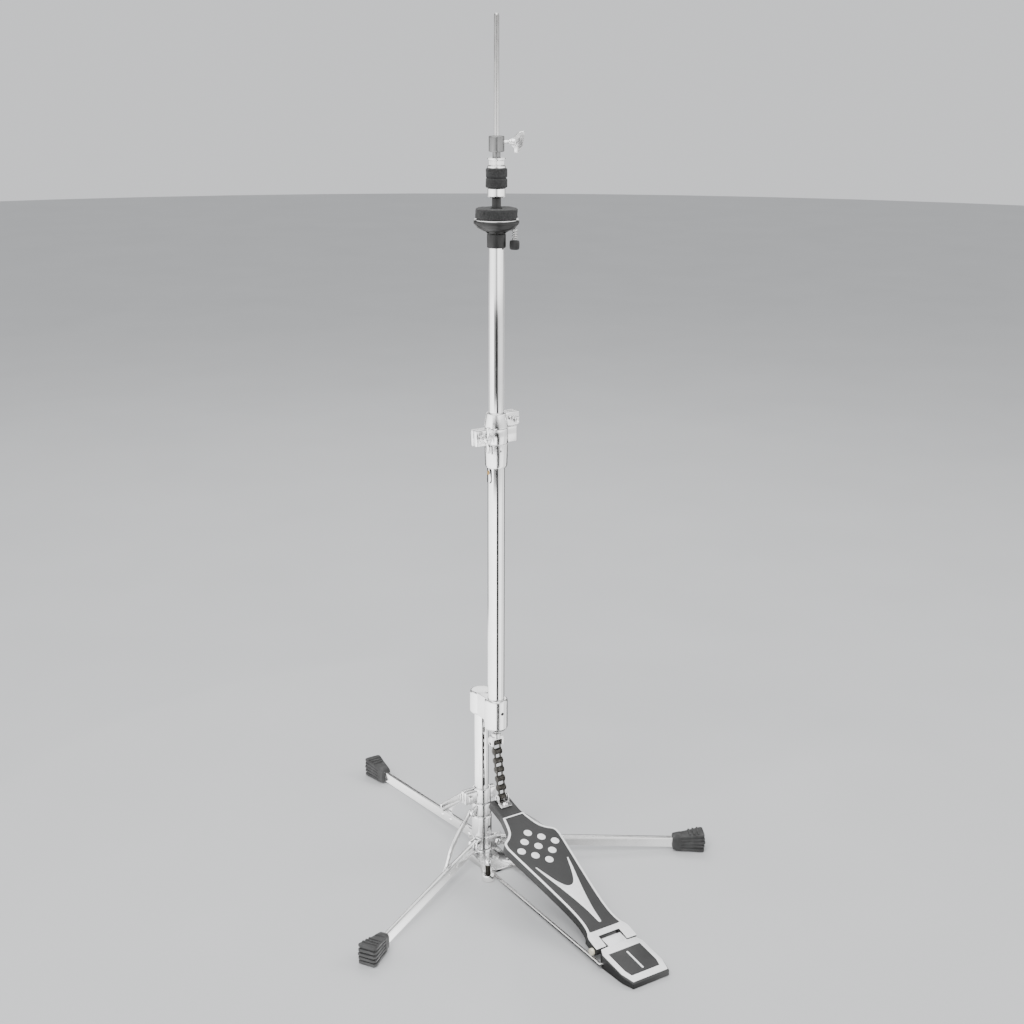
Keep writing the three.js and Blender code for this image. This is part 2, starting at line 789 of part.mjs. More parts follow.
/** Half width of the footboard against the distance from the hinge pin. */
const boardEdge = [
  [-4.2, boardEndHalfWidth],
  [15.8, boardEndHalfWidth],
  [24, 26.6],
  [34, 24.4],
  [49, 24],
  [70, 25.6],
  [110, 31],
  [154, 37.6],
  [184, 41.6],
  [192, 42.3],
  [198.6, 40.6],
  [205, 33],
  [216, 23.5],
  [228, 19],
  [241, 16.2],
  [258, 15],
  [276, 15],
];

/** The cast board: a plate with side walls, two hinge lobes and a pocket below. */
function footboard() {
  const notchEnd = 13.7;
  const right = boardEdge.map(([y, half]) => [half, y]);
  const left = boardEdge.map(([y, half]) => [-half, y]).reverse();
  const rear = boardEdge[0][0];
  const notch = [
    [-notchHalfWidth, rear],
    [-notchHalfWidth, notchEnd],
    [notchHalfWidth, notchEnd],
    [notchHalfWidth, rear],
  ];
  const bottom = boardRise - boardThickness;
  const slab = at(plate([...right, ...left, ...notch], boardThickness), 0, 0, bottom);
  const inside = boardEdge.filter(([y]) => y > 30 && y < 250);
  const pocketRight = inside.map(([y, half]) => [half - boardSkin, y]);
  const pocketLeft = inside.map(([y, half]) => [boardSkin - half, y]).reverse();
  const pocket = at(plate([...pocketRight, ...pocketLeft], boardThickness - boardSkin), 0, 0, bottom - 0.01);
  const knuckle = (side) => {
    const x0 = side > 0 ? notchHalfWidth : -boardEndHalfWidth;
    const x1 = side > 0 ? boardEndHalfWidth : -notchHalfWidth;
    return sideBar(knuckleRadius, 0, 0, x0, x1);
  };
  const pinHole = sideBar(bore(hingePinRadius, fineSides), 0, 0, -60, 60);
  const boltHole = at(rod(bore(toeBoltRadius, fineSides), -20, 20), 0, toeBoltY, 0);
  return cut(join(slab, knuckle(1), knuckle(-1)), pocket, pinHole, boltHole);
}

const toeBoltRadius = 1.9;
const toeBoltY = 261.5;
const toeReach = chainPinY - hingeY;
const toeRise = chainPinZ - hingeZ;
const toePinY = toeReach * Math.cos(boardSlope) + toeRise * Math.sin(boardSlope);
const toePinHeight = toeRise * Math.cos(boardSlope) - toeReach * Math.sin(boardSlope);

/** The bracket on the toe of the board, whose two ears hold the last pin of the chain. */
function toeBracket() {
  const bottom = boardRise + gap;
  const inner = chainWidth / 2 + 0.6;
  const base = block(-inner - 2, inner + 2, toeBoltY - 5, toePinY + 4, bottom, bottom + 2);
  const outline = [
    [toePinY - 7, bottom],
    [toePinY + 4, bottom],
    [toePinY + 4, toePinHeight + 1],
    [toePinY + 1.5, toePinHeight + 4],
    [toePinY - 1.5, toePinHeight + 4],
    [toePinY - 4.5, toePinHeight + 1],
  ];
  const ear = (x) => at(plate(outline, 2), x, 0, 0, Math.PI / 2, 0, Math.PI / 2);
  const hole = at(rod(bore(toeBoltRadius, fineSides), bottom - 1, bottom + 4), 0, toeBoltY, 0);
  const pinHole = sideBar(bore(yokePinRadius, fineSides), toePinY, toePinHeight, -12, 12);
  return cut(join(base, ear(inner), ear(-inner - 2)), hole, pinHole);
}

function toeBolt() {
  const seat = boardRise + gap + 2 + gap;
  const crown = [[3.7, seat + 1.4], [2.4, seat + 2.9], [0, seat + 3.2]];
  const head = turned([[0, seat], [3.7, seat], ...crown], fineSides);
  const shank = rod(toeBoltRadius, boardRise - boardThickness - 2, seat + 0.5);
  return at(join(head, shank), 0, toeBoltY, 0);
}

// ---------------------------------------------------------------- legs

/** A leg along +X from its pivot at the origin, with a rounded inner end and two rivets. */
function leg() {
  const half = legHeight / 2;
  const bar = upright([[0, -half], [legLength, -half], [legLength, half], [0, half]], legThickness);
  const eye = crossBar(half, 0, 0, -legThickness / 2, legThickness / 2, sides);
  const hole = crossBar(bore(legPinRadius, fineSides), 0, 0, -5, 5);
  const rivet = (x) => crossBar(3, x, 0, -1, legThickness / 2 + 1.2);
  return cut(join(bar, eye, rivet(strutFootReach), rivet(secondRivetReach)), hole);
}

function legPin() {
  const reach = legThickness / 2 + gap + 0.1 + 3;
  const shaft = crossBar(legPinRadius, 0, 0, -reach - 1, reach + 1);
  const head = (y0, y1) => crossBar(4, 0, 0, y0, y1);
  return join(shaft, head(-reach - 2, -reach - gap), head(reach + gap, reach + 2));
}

/** The fan-shaped rubber foot along +X from its inner face, standing on Z = 0. */
function foot() {
  const profile = upright(
    [
      [0, 3],
      [4, 0],
      [footLength, 0],
      [footLength, footHeight - 5],
      [footLength - 5, footHeight],
      [footLength * 0.6, footHeight - 1],
      [4, footHeight - 5],
      [0, footHeight - 8],
    ],
    40,
  );
  const fan = plate(
    [
      [0, -footInnerHalfWidth],
      [footLength, -footHalfWidth],
      [footLength, footHalfWidth],
      [0, footInnerHalfWidth],
    ],
    60,
  );
  return common(profile, fan);
}

/** The end of the strut on the leg, seen from its pin on the collar when the legs lie flat. */
function strutEnd() {
  const x = legPivotReach + strutFootReach * Math.cos(legSlope) - strutPinReach;
  const z = legPivotHeight - strutFootReach * Math.sin(legSlope) - strutPinHeight;
  return { x, z };
}

const strutPinHeight = strutCollarBottom + 9.5;

/** A flat bar bowed outwards between the collar and the leg, with its own rivets. */
function strut() {
  const end = strutEnd();
  const half = strutWidth / 2;
  const bow = [0, 0.3, 0.72, 0.84, 1].map((t, i) => {
    const lift = [0, 5, 6, 1.5, 0][i];
    return { x: end.x * t + lift * 0.6, z: end.z * t + lift * 0.8 };
  });
  const pieces = [];
  for (let i = 1; i < bow.length; i++) {
    const a = bow[i - 1];
    const b = bow[i];
    const length = Math.hypot(b.x - a.x, b.z - a.z);
    const bar = block(0, length, -strutThickness / 2, strutThickness / 2, -half + 1, half - 1);
    pieces.push(at(bar, a.x, 0, a.z, 0, -Math.atan2(b.z - a.z, b.x - a.x)));
    pieces.push(crossBar(half - 1, b.x, b.z, -strutThickness / 2, strutThickness / 2, 12));
  }
  pieces.push(crossBar(half, 0, 0, -strutThickness / 2, strutThickness / 2, fineSides));
  pieces.push(crossBar(half, end.x, end.z, -strutThickness / 2, strutThickness / 2, fineSides));
  pieces.push(crossBar(2.6, end.x, end.z, -strutThickness / 2 - 1.4, 0, 12));
  pieces.push(crossBar(strutPinRadius, 0, 0, 0, strutThickness / 2 + strutLugWall + 1.6, 12));
  return join(...pieces);
}

const strutLugWall = 4;
const strutSide = -(legThickness / 2 + gap + 0.1 + strutThickness / 2); // the strut lies beside the leg

/** The sliding collar with three lugs, each beside the head of a strut. */
function strutCollar() {
  const top = strutCollarBottom + strutCollarHeight;
  const inner = bore(pillarRadius);
  const ring = tube(strutCollarRadius, inner, strutCollarBottom, top);
  const lugFace = strutSide + strutThickness / 2 + gap;
  const lug = upright(
    [
      [inner + 1, strutCollarBottom + 1],
      [strutPinReach, strutPinHeight - 6],
      [strutPinReach + 5, strutPinHeight - 2],
      [strutPinReach + 5, strutPinHeight + 3],
      [strutPinReach, strutPinHeight + 6],
      [inner + 1, top - 1],
    ],
    strutLugWall,
  );
  const lugInPlace = at(lug, 0, lugFace + strutLugWall / 2, 0);
  const lugs = [90, 210, 330].map((angle) => at(lugInPlace, 0, 0, 0, 0, 0, angle * degree));
  const pinBore = bore(strutPinRadius, fineSides);
  const lugBack = lugFace + strutLugWall;
  const hole = crossBar(pinBore, strutPinReach, strutPinHeight, lugFace - 1, lugBack + 1);
  const holes = [90, 210, 330].map((angle) => at(hole, 0, 0, 0, 0, 0, angle * degree));
  return cut(join(ring, ...lugs), rod(inner, strutCollarBottom - 1, top + 1, sides), ...holes);
}

const collarClampBottom = strutCollarBottom + strutCollarHeight + 1.6;
const collarBoltX = -22;
const collarBoltZ = collarClampBottom + collarClampHeight / 2;
const collarEarHalf = 6;

/** The split clamp above the collar, with two ears for the lever bolt and a boss opposite. */
function collarClamp() {
  const bottom = collarClampBottom;
  const top = bottom + collarClampHeight;
  const inner = bore(pillarRadius);
  const ring = tube(strutCollarRadius - 0.4, inner, bottom, top);
  const ears = block(-collarClampEarReach, -inner - 1, -collarEarHalf, collarEarHalf, bottom + 1, top - 1);
  const boss = block(inner + 1, 22, -5.5, 5.5, bottom + 1, top - 3);
  const split = block(-collarClampEarReach - 1, -pillarRadius + 1, -0.8, 0.8, bottom - 1, top + 1);
  const hole = crossBar(bore(collarBoltRadius, fineSides), collarBoltX, collarBoltZ, -12, 12);
  return cut(join(ring, ears, boss), rod(inner, bottom - 1, top + 1, sides), split, hole);
}

const collarBoltRadius = 2.2;

function clampBolt() {
  const front = -collarEarHalf;
  const back = collarEarHalf + leverThickness + 3;
  const shank = crossBar(collarBoltRadius, collarBoltX, collarBoltZ, front - 2, back);
  const head = crossBar(4.6, collarBoltX, collarBoltZ, front - 3.6, front - gap, 4);
  const nut = collarEarHalf + leverThickness + 2 * gap + 0.4;
  return join(shank, head, crossBar(4, collarBoltX, collarBoltZ, nut, nut + 2.6, 6));
}

const leverThickness = 3.4;
const leverLength = 40;

/** The flat lever behind the ears, turned down a little, with a round eye on the bolt. */
function clampLever() {
  const y0 = collarEarHalf + gap + 0.2;
  const bar = block(-leverLength, 0, y0, y0 + leverThickness, -6, 6);
  const eye = crossBar(7, 0, 0, y0, y0 + leverThickness, sides);
  const hole = crossBar(bore(collarBoltRadius, fineSides), 0, 0, y0 - 1, y0 + leverThickness + 1);
  return at(cut(join(bar, eye), hole), collarBoltX, 0, collarBoltZ, 0, -14 * degree);
}

/** A threaded spur with a round head on top and a point below. */
function spur() {
  return turned(
    [
      [0, 1.2],
      [spurRadius, 5],
      [spurRadius, 21.5],
      [3, 22.5],
      [4.6, 24.5],
      [4.8, 27.5],
      [3.4, 30.4],
      [0, 31.2],
    ],
    fineSides,
  );
}

// ---------------------------------------------------------------- assembly

const stand = new THREE.Group();
const column = new THREE.Group();
column.position.set(0, -columnOffset, 0);
stand.add(column);

const pillarBottom = 3 + gap;
stand.add(
  mesh("pillar_tube", tube(pillarRadius, pillarRadius - tubeWall, pillarBottom, pillarTop - gap), chrome),
  mesh("offset_block", offsetBlock(), chrome),
  mesh("base_casting", baseCasting(), chrome),
  mesh("leg_spider", legSpider(), chrome),
  mesh("pillar_collar", pillarCollar(), chrome),
  mesh("radius_rod", bentBar(radiusRodPath(), radiusRodRadius, radiusRodSteps), steel),
  mesh("heel_plate", heelPlate(), darkPaint),
  mesh("heel_pin", heelPin(), whitePlastic),
  mesh("strut_collar", strutCollar(), chrome),
  mesh("collar_clamp", collarClamp(), chrome),
  mesh("clamp_bolt", clampBolt(), steel),
  mesh("clamp_lever", clampLever(), chrome),
);

const springCupTop = lowerTubeBottom + springCupHeight;
const springCup = tube(lowerTubeBore - 0.5, rodRadius + 1, lowerTubeBottom, springCupTop);
const springBottom = springCupTop + gap;
const badge = at(block(-4, 4, 0, 1, 0, 19.5), 0, lowerTubeRadius + gap, coneBottom - 20.3);
column.add(
  mesh("lower_tube", tube(lowerTubeRadius, lowerTubeBore, lowerTubeBottom, lowerTubeTop), chrome),
  mesh("badge", at(badge, 0, 0, 0, 0, 0, 100 * degree), blackPlastic),
  mesh("spring_cup", springCup, steel),
  mesh("return_spring", coil(6.4, 0.8, springBottom, springTop, 7), darkSteel),
  mesh("tube_bush", tube(lowerTubeRadius, bore(upperTubeRadius), lowerTubeTop + gap, bandTop), blackPlastic),
  mesh("height_clamp", heightClamp(), chrome),
  mesh("height_clamp_jaw", heightClampJaw(), chrome),
  mesh("height_wing_bolt", heightWingBolt(), chrome),
  mesh("memory_lock", memoryLock(), chrome),
  mesh("memory_key_bolt", memoryKeyBolt(), chrome),
);

const seat = new THREE.Group();
seat.rotation.z = facing;
column.add(seat);
const cupUnderside = seatCupBottom + seatFloor + 2.2;
const knobTop = seatCupBottom + seatFloor - tiltKnobDrop;
const stemBottom = seatCupBottom + seatFloor + 1 + gap;
const stemTop = seatFeltTop + stemProud;
const tiltScrewTop = seatCupTop - 0.2;
column.add(
  mesh("upper_tube", tube(upperTubeRadius, upperTubeBore, upperTubeBottom, upperTubeTop), chrome),
  mesh("tube_collar", tubeCollar(), blackPlastic),
  mesh("seat_stem", tube(stemRadius, bore(rodRadius), stemBottom, stemTop), blackPlastic),
);
const knob = rod(tiltKnobRadius, knobTop - tiltKnobHeight, knobTop, sides);
const knobBore = rod(bore(tiltScrewRadius, fineSides), knobTop - 7, knobTop + 1);
const screw = rod(tiltScrewRadius, knobTop - 6.6, tiltScrewTop);
const tiltSpring = coil(3.4, 0.55, knobTop + gap, cupUnderside - gap, 5);
const washer = tube(seatWasherRadius, bore(stemRadius, sides, 1.8), seatCupTop + gap, seatWasherTop);
const seatFelt = feltRing(seatFeltRadius, bore(stemRadius, sides, 1.8), seatWasherTop + gap, seatFeltHeight);
seat.add(
  mesh("seat_cup", seatCup(), blackPlastic),
  mesh("tilt_spring", at(tiltSpring, tiltScrewReach, 0, 0), steel),
  mesh("tilt_screw", at(screw, tiltScrewReach, 0, 0), steel),
  mesh("tilt_knob", at(cut(knob, knobBore), tiltScrewReach, 0, 0), blackPlastic),
  mesh("seat_washer", washer, steel),
  mesh("seat_felt", seatFelt, felt),
);

const socketBottom = yokePinZ + 7;
const rodJoint = couplerBottom + couplerHeight / 2;
column.add(
  mesh("lower_rod", rod(rodRadius, socketBottom + gap, rodJoint - gap), steel),
  mesh("pull_rod", rod(rodRadius, rodJoint + gap, rodTop), steel),
  mesh(
    "rod_coupler",
    tube(couplerRadius, bore(rodRadius, 12), couplerBottom, couplerBottom + couplerHeight, 12),
    darkSteel,
  ),
  mesh("spring_nut", tube(8.6, bore(rodRadius), springTop + gap, springTop + springNutHeight), steel),
  mesh("chain_yoke", chainYoke(), steel),
  mesh("drive_chain", driveChain(), darkSteel),
  mesh("clutch_body", clutchBody(), brushed),
  mesh("clutch_wing_bolt", clutchWingBolt(), chrome),
  mesh("clutch_lock_nut", clutchLockNut(), chrome),
  mesh(
    "clutch_felt_upper",
    feltRing(clutchFeltRadius, bore(clutchSleeveRadius), upperFeltBottom, clutchFeltHeight),
    felt,
  ),
  mesh(
    "clutch_felt_lower",
    feltRing(clutchFeltRadius + 0.3, bore(clutchSleeveRadius), lowerFeltBottom, clutchFeltHeight),
    felt,
  ),
  mesh("clutch_nut", clutchNut(), chrome),
);

const board = new THREE.Group();
board.position.set(0, hingeY, hingeZ);
board.rotation.x = boardSlope;
board.add(
  mesh("footboard", footboard(), darkPaint),
  mesh("toe_bracket", toeBracket(), steel),
  mesh("toe_bolt", toeBolt(), steel),
);
stand.add(board);

for (const [name, side] of [["spur_left", -1], ["spur_right", 1]]) {
  const piece = mesh(name, spur(), darkSteel);
  piece.position.set(side * spurSpread, -spurReach, 0);
  stand.add(piece);
}

const legNames = [["rear", 90], ["left", 210], ["right", 330]];
for (const [name, angle] of legNames) {
  const spoke = new THREE.Group();
  spoke.rotation.z = angle * degree;
  stand.add(spoke);

  const limb = mesh("leg_" + name, leg(), chrome);
  limb.position.set(legPivotReach, 0, legPivotHeight);
  limb.rotation.y = legSlope;

  const pin = mesh("leg_pin_" + name, legPin(), steel);
  pin.position.copy(limb.position);

  const sole = mesh("foot_" + name, foot(), rubber);
  sole.position.x = legPivotReach + legLength * Math.cos(legSlope) - footInsert;
  const socketHalf = legThickness / 2 + gap;
  const socketRise = legHeight / 2 + gap;
  const socket = block(-1, legLength + 0.6, -socketHalf, socketHalf, -socketRise, socketRise);
  const inFoot = at(socket, 0, 0, 0, 0, legSlope);
  inFoot.translate(limb.position.x - sole.position.x, 0, legPivotHeight);
  sole.geometry = cut(sole.geometry, inFoot);

  const brace = mesh("strut_" + name, strut(), chrome);
  brace.position.set(strutPinReach, strutSide, strutPinHeight);
  spoke.add(limb, pin, sole, brace);
}

export default stand;
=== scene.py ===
import math

import bpy
import numpy as np

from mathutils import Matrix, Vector


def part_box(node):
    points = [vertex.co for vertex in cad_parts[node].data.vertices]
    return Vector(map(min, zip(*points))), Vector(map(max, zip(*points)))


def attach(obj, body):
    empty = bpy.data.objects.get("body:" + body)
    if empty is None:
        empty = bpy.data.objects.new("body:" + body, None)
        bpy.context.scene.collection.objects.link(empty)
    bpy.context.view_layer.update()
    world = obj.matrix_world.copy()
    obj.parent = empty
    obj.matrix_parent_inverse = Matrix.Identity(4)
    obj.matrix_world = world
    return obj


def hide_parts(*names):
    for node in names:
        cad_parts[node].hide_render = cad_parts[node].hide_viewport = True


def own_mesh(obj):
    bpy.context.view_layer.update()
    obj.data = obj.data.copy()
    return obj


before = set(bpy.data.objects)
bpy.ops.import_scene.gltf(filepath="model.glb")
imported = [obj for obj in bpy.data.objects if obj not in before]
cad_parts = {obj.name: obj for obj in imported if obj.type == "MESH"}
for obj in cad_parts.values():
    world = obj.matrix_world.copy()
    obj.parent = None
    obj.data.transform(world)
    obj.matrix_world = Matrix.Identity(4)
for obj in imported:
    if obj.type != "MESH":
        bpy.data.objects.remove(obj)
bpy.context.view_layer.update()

MM = 0.001
GAP = 0.3
COLUMN = np.array([0.0, -36.0, 0.0])
PILLAR = np.zeros(3)
ORIGIN = np.zeros(3)
SEAT_TURN = -34.0
BOARD_SLOPE = 17.9
HINGE = np.array([0.0, -305.0, 15.3])
LEG_ANGLES = {"rear": 90.0, "left": 210.0, "right": 330.0}
LEG_PIN = np.array([22.0, 0.0, 25.0])  # in each spoke's own frame, whose X points out along the leg
ROD_RADIUS = 3.1
PILLAR_BORE = 9.85
PIN_HOLE = 2.15  # round a chain pin
HINGE_HOLE = 2.75  # round the heel pin
CHAIN_PITCH = 12.7
CHAIN_LINKS = 6
CHAIN_LEAN = -15.0  # how far the lower pin stands in front of the upper one


def low(node):
    """Lowest corner of a frame node, in millimetres."""
    return np.array(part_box(node)[0]) / MM


def high(node):
    """Highest corner of a frame node, in millimetres."""
    return np.array(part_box(node)[1]) / MM


def bottom(node):
    return float(low(node)[2])


def top(node):
    return float(high(node)[2])


def span(node):
    """Lowest and highest z of a frame node."""
    return bottom(node), top(node)


# ---------------------------------------------------------------- camera, floor and light

CAMERA_PLACE_M = (-1.1189, -1.7315, 1.1285)
CAMERA_PITCH = 73.149
CAMERA_ROLL = 0.216
CAMERA_AZIMUTH = -34.0
CAMERA_LENS = 57.49
FRONT = -123.4  # bearing of the camera from the column


def add_camera():
    data = bpy.data.cameras.new("view")
    data.lens = CAMERA_LENS
    data.sensor_width = 36.0
    data.clip_end = 60.0
    camera = placed("view", data)
    camera.location = CAMERA_PLACE_M
    camera.rotation_euler = (
        math.radians(CAMERA_PITCH),
        math.radians(0.0),
        math.radians(CAMERA_AZIMUTH),
    )
    camera.rotation_euler.rotate_axis("Z", math.radians(CAMERA_ROLL))
    bpy.context.scene.camera = camera


def add_area(name, place, aim, size, power):
    data = bpy.data.lights.new(name, "AREA")
    data.shape = "RECTANGLE"
    data.size, data.size_y = size
    data.energy = power
    lamp = placed(name, data)
    lamp.location = place
    direction = Vector(aim) - Vector(place)
    lamp.rotation_euler = direction.to_track_quat("-Z", "Y").to_euler()


def add_world():
    world = bpy.data.worlds.new("studio")
    bpy.context.scene.world = world
    world.use_nodes = True
    background = world.node_tree.nodes["Background"]
    background.inputs["Color"].default_value = (0.93, 0.94, 0.96, 1.0)
    background.inputs["Strength"].default_value = 0.95


# ---------------------------------------------------------------- shells: points and faces as arrays


def turn(axis, degrees):
    """Rotation matrix about X, Y or Z by the right-hand rule."""
    c, s = math.cos(math.radians(degrees)), math.sin(math.radians(degrees))
    if axis == "X":
        return np.array([[1, 0, 0], [0, c, -s], [0, s, c]])
    if axis == "Y":
        return np.array([[c, 0, s], [0, 1, 0], [-s, 0, c]])
    return np.array([[c, -s, 0], [s, c, 0], [0, 0, 1]])


def facing_out(points, faces):
    """Turns all faces round when the volume, the sum of a . (b x c) / 6 over fan triangles, is negative."""
    volume = 0.0
    for group in faces:
        a = points[group[:, 0]]
        for k in range(1, group.shape[1] - 1):
            volume += np.einsum("ij,ij->", a, np.cross(points[group[:, k]], points[group[:, k + 1]]))
    if volume < 0:
        faces = [group[:, ::-1] for group in faces]
    return points, faces


def moved(shell, offset=(0, 0, 0), *turns):
    """The shell after the turns, in order, and then the offset."""
    points, faces = shell
    for matrix in turns:
        points = points @ matrix.T
    return points + np.asarray(offset, float), faces


def tube_faces(rows, columns, ring):
    """Quads between neighbouring rows of a grid whose columns close on themselves."""
    i = np.arange(rows if ring else rows - 1)[:, None]
    j = np.arange(columns)[None, :]
    after = (j + 1) % columns
    below = (i + 1) % rows
    corners = [i * columns + j, i * columns + after, below * columns + after, below * columns + j]
    return np.stack([np.broadcast_to(c, (i.size, columns)) for c in corners], -1).reshape(-1, 4)


def lofted(grid, ring=False):
    """A closed surface through a grid whose row i is section i. The end sections are filled."""
    rows, columns = grid.shape[:2]
    faces = [tube_faces(rows, columns, ring)]
    if not ring:
        first = np.arange(columns)[None, ::-1]
        last = (rows - 1) * columns + np.arange(columns)[None, :]
        faces += [first, last]
    return facing_out(grid.reshape(-1, 3).astype(float), faces)


def thinned(points, least=1e-4):
    """Outline points without neighbours that coincide."""
    step = np.linalg.norm(points - np.roll(points, 1, 0), axis=1)
    return points[step > least]


def rounded(points, radius, closed=True, steps=5):
    """Each corner p becomes (1-t)^2 a + 2t(1-t) p + t^2 b, with a and b on the two sides that meet there."""
    p = np.asarray(points, float)
    before = np.roll(p, 1, 0) - p
    after = np.roll(p, -1, 0) - p
    length_before = np.linalg.norm(before, axis=1, keepdims=True)
    length_after = np.linalg.norm(after, axis=1, keepdims=True)
    reach = np.minimum(np.broadcast_to(np.reshape(radius, (-1, 1)), (len(p), 1)), 0.48 * length_before)
    reach = np.minimum(reach, 0.48 * length_after)
    if not closed:
        reach = reach.copy()
        reach[0] = reach[-1] = 0
    a = (p + before / length_before * reach)[:, None]
    b = (p + after / length_after * reach)[:, None]
    t = np.linspace(0, 1, steps)[None, :, None]
    curve = (1 - t) ** 2 * a + 2 * t * (1 - t) * p[:, None] + t**2 * b
    flat = curve.reshape(-1, 2)
    if closed:
        return thinned(flat)
    keep = np.ones(len(flat), bool)
    keep[1:] = np.linalg.norm(np.diff(flat, axis=0), axis=1) > 1e-4
    return flat[keep]


def turned(profile, centre=COLUMN, soft=0.25, sides=72, ring=False):
    """Profile points (r, z) round a vertical axis: x = r cos a, y = r sin a. A ring's profile is closed."""
    outline = rounded(profile, soft, closed=ring, steps=4) if soft else np.asarray(profile, float)
    outline = np.maximum(outline, [0.02, -1e9])
    angle = np.linspace(0, 2 * np.pi, sides, endpoint=False)
    x = outline[:, :1] * np.cos(angle)
    y = outline[:, :1] * np.sin(angle)
    z = np.broadcast_to(outline[:, 1:], x.shape)
    points, faces = lofted(np.stack([x, y, z], -1), ring)
    return points + np.asarray(centre, float) * [1, 1, 0], faces


def pipe(outer, inner, z0, z1, centre=COLUMN, soft=0.3, sides=96):
    return turned([(inner, z0), (outer, z0), (outer, z1), (inner, z1)], centre, soft, sides, ring=True)


def shaft(radius, z0, z1, centre=COLUMN, soft=0.3, sides=48):
    return turned([(0, z0), (radius, z0), (radius, z1), (0, z1)], centre, soft, sides)


def prism(outline, z0, z1, edge=0.4):
    """An outline in XY carried from z0 to z1, drawn in by the edge at both ends with a quarter-round."""
    outline = np.asarray(outline, float)
    rows = []
    for share in (0.0, 0.3, 1.0):
        inset = edge * (1 - share) ** 2 if edge else 0
        lift = edge * (1 - (1 - share) ** 0.5) if edge else 0
        rows.append((inset, z0 + lift))
    rows += [(inset, z1 - (z - z0)) for inset, z in reversed(rows)]
    if not edge:
        rows = [(0, z0), (0, z1)]
    grid = np.array([np.c_[drawn_in(outline, inset), np.full(len(outline), z)] for inset, z in rows])
    return lofted(grid)


def drawn_in(outline, distance):
    """Every point moves inwards by the distance along the mean normal of its two sides."""
    if not distance:
        return outline
    side_a = outline - np.roll(outline, 1, 0)
    side_b = np.roll(outline, -1, 0) - outline

    def normal(v):
        return np.c_[v[:, 1], -v[:, 0]] / np.maximum(np.linalg.norm(v, axis=1, keepdims=True), 1e-9)

    mean = normal(side_a) + normal(side_b)
    mean /= np.maximum(np.linalg.norm(mean, axis=1, keepdims=True), 1e-9)
    bend = np.clip(np.einsum("ij,ij->i", mean, normal(side_a)), 0.5, 1)[:, None]
    x, y = outline.T
    area = np.sum(x * np.roll(y, -1) - np.roll(x, -1) * y)
    return outline - np.sign(area) * mean * distance / bend


def frame_prism(outer, inner, z0, z1):
    """A wall between two outlines with the same number of points."""
    low_o, low_i = (np.c_[o, np.full(len(o), z0)] for o in (outer, inner))
    top_o, top_i = (np.c_[o, np.full(len(o), z1)] for o in (outer, inner))
    return lofted(np.array([low_i, low_o, top_o, top_i]), ring=True)


def upright(outline, y0, y1, edge=0.4):
    """An outline in XZ carried along Y."""
    return moved(prism(outline, y0, y1, edge), ORIGIN, np.array([[1, 0, 0], [0, 0, 1], [0, 1, 0]]))


def sideways(outline, x0, x1, edge=0.4):
    """An outline in YZ carried along X."""
    return moved(prism(outline, x0, x1, edge), ORIGIN, np.array([[0, 0, 1], [1, 0, 0], [0, 1, 0]]))


def mended(shell):
    """The shell with its faces turned outwards again after a mirror."""
    return facing_out(*shell)


def circle(radius, centre=(0, 0), count=48):
    return arc(radius, np.linspace(0, 2 * np.pi, count, endpoint=False)) + centre


def hexagon(radius):
    return rounded(circle(radius, count=6), 0.5)


def arc(radius, angles):
    return radius * np.c_[np.cos(angles), np.sin(angles)]


def box_outline(x0, x1, y0, y1, radius=1.0, steps=5):
    return rounded([(x0, y0), (x1, y0), (x1, y1), (x0, y1)], radius, steps=steps)


def bar_y(radius, x, z, y0, y1, soft=0.3, sides=40):
    """A round bar along Y."""
    return moved(shaft(radius, y0, y1, ORIGIN, soft, sides), (x, 0, z), turn("X", -90).round())


def bar_x(radius, y, z, x0, x1, soft=0.3, sides=40):
    """A round bar along X."""
    return moved(shaft(radius, x0, x1, ORIGIN, soft, sides), (0, y, z), turn("Y", 90).round())


def dome(radius, height, base, sides=32):
    """A cap whose height above its base is height times sqrt(1 - (r / radius)^2)."""
    t = np.linspace(0, np.pi / 2, 8)
    profile = np.c_[radius * np.cos(t), base + height * np.sin(t)]
    return turned(np.r_[[[0.02, base]], profile], ORIGIN, 0, sides)


def smooth_path(points, steps=10):
    """Centripetal-like Catmull-Rom curve: each stretch is the cubic through two points with mean slopes."""
    p = np.asarray(points, float)
    padded = np.r_[[2 * p[0] - p[1]], p, [2 * p[-1] - p[-2]]]
    a, b, c, d = padded[:-3], padded[1:-2], padded[2:-1], padded[3:]
    t = np.linspace(0, 1, steps, endpoint=False)[None, :, None]
    a, b, c, d = (v[:, None] for v in (a, b, c, d))
    curve = 0.5 * (2 * b + (c - a) * t + (2 * a - 5 * b + 4 * c - d) * t**2 + (3 * b - a - 3 * c + d) * t**3)
    return np.r_[curve.reshape(-1, p.shape[1]), p[-1:]]


def swept(path, section, up=(0, 0, 1)):
    """A section (side, up) carried along a path, square to it and with its top near the up direction."""
    path = np.asarray(path, float)
    section = np.asarray(section, float)
    along = np.gradient(path, axis=0)
    along /= np.linalg.norm(along, axis=1, keepdims=True)
    side = np.cross(along, np.asarray(up, float))
    side /= np.linalg.norm(side, axis=1, keepdims=True)
    rise = np.cross(side, along)
    grid = path[:, None] + side[:, None] * section[None, :, :1] + rise[:, None] * section[None, :, 1:]
    return lofted(grid)


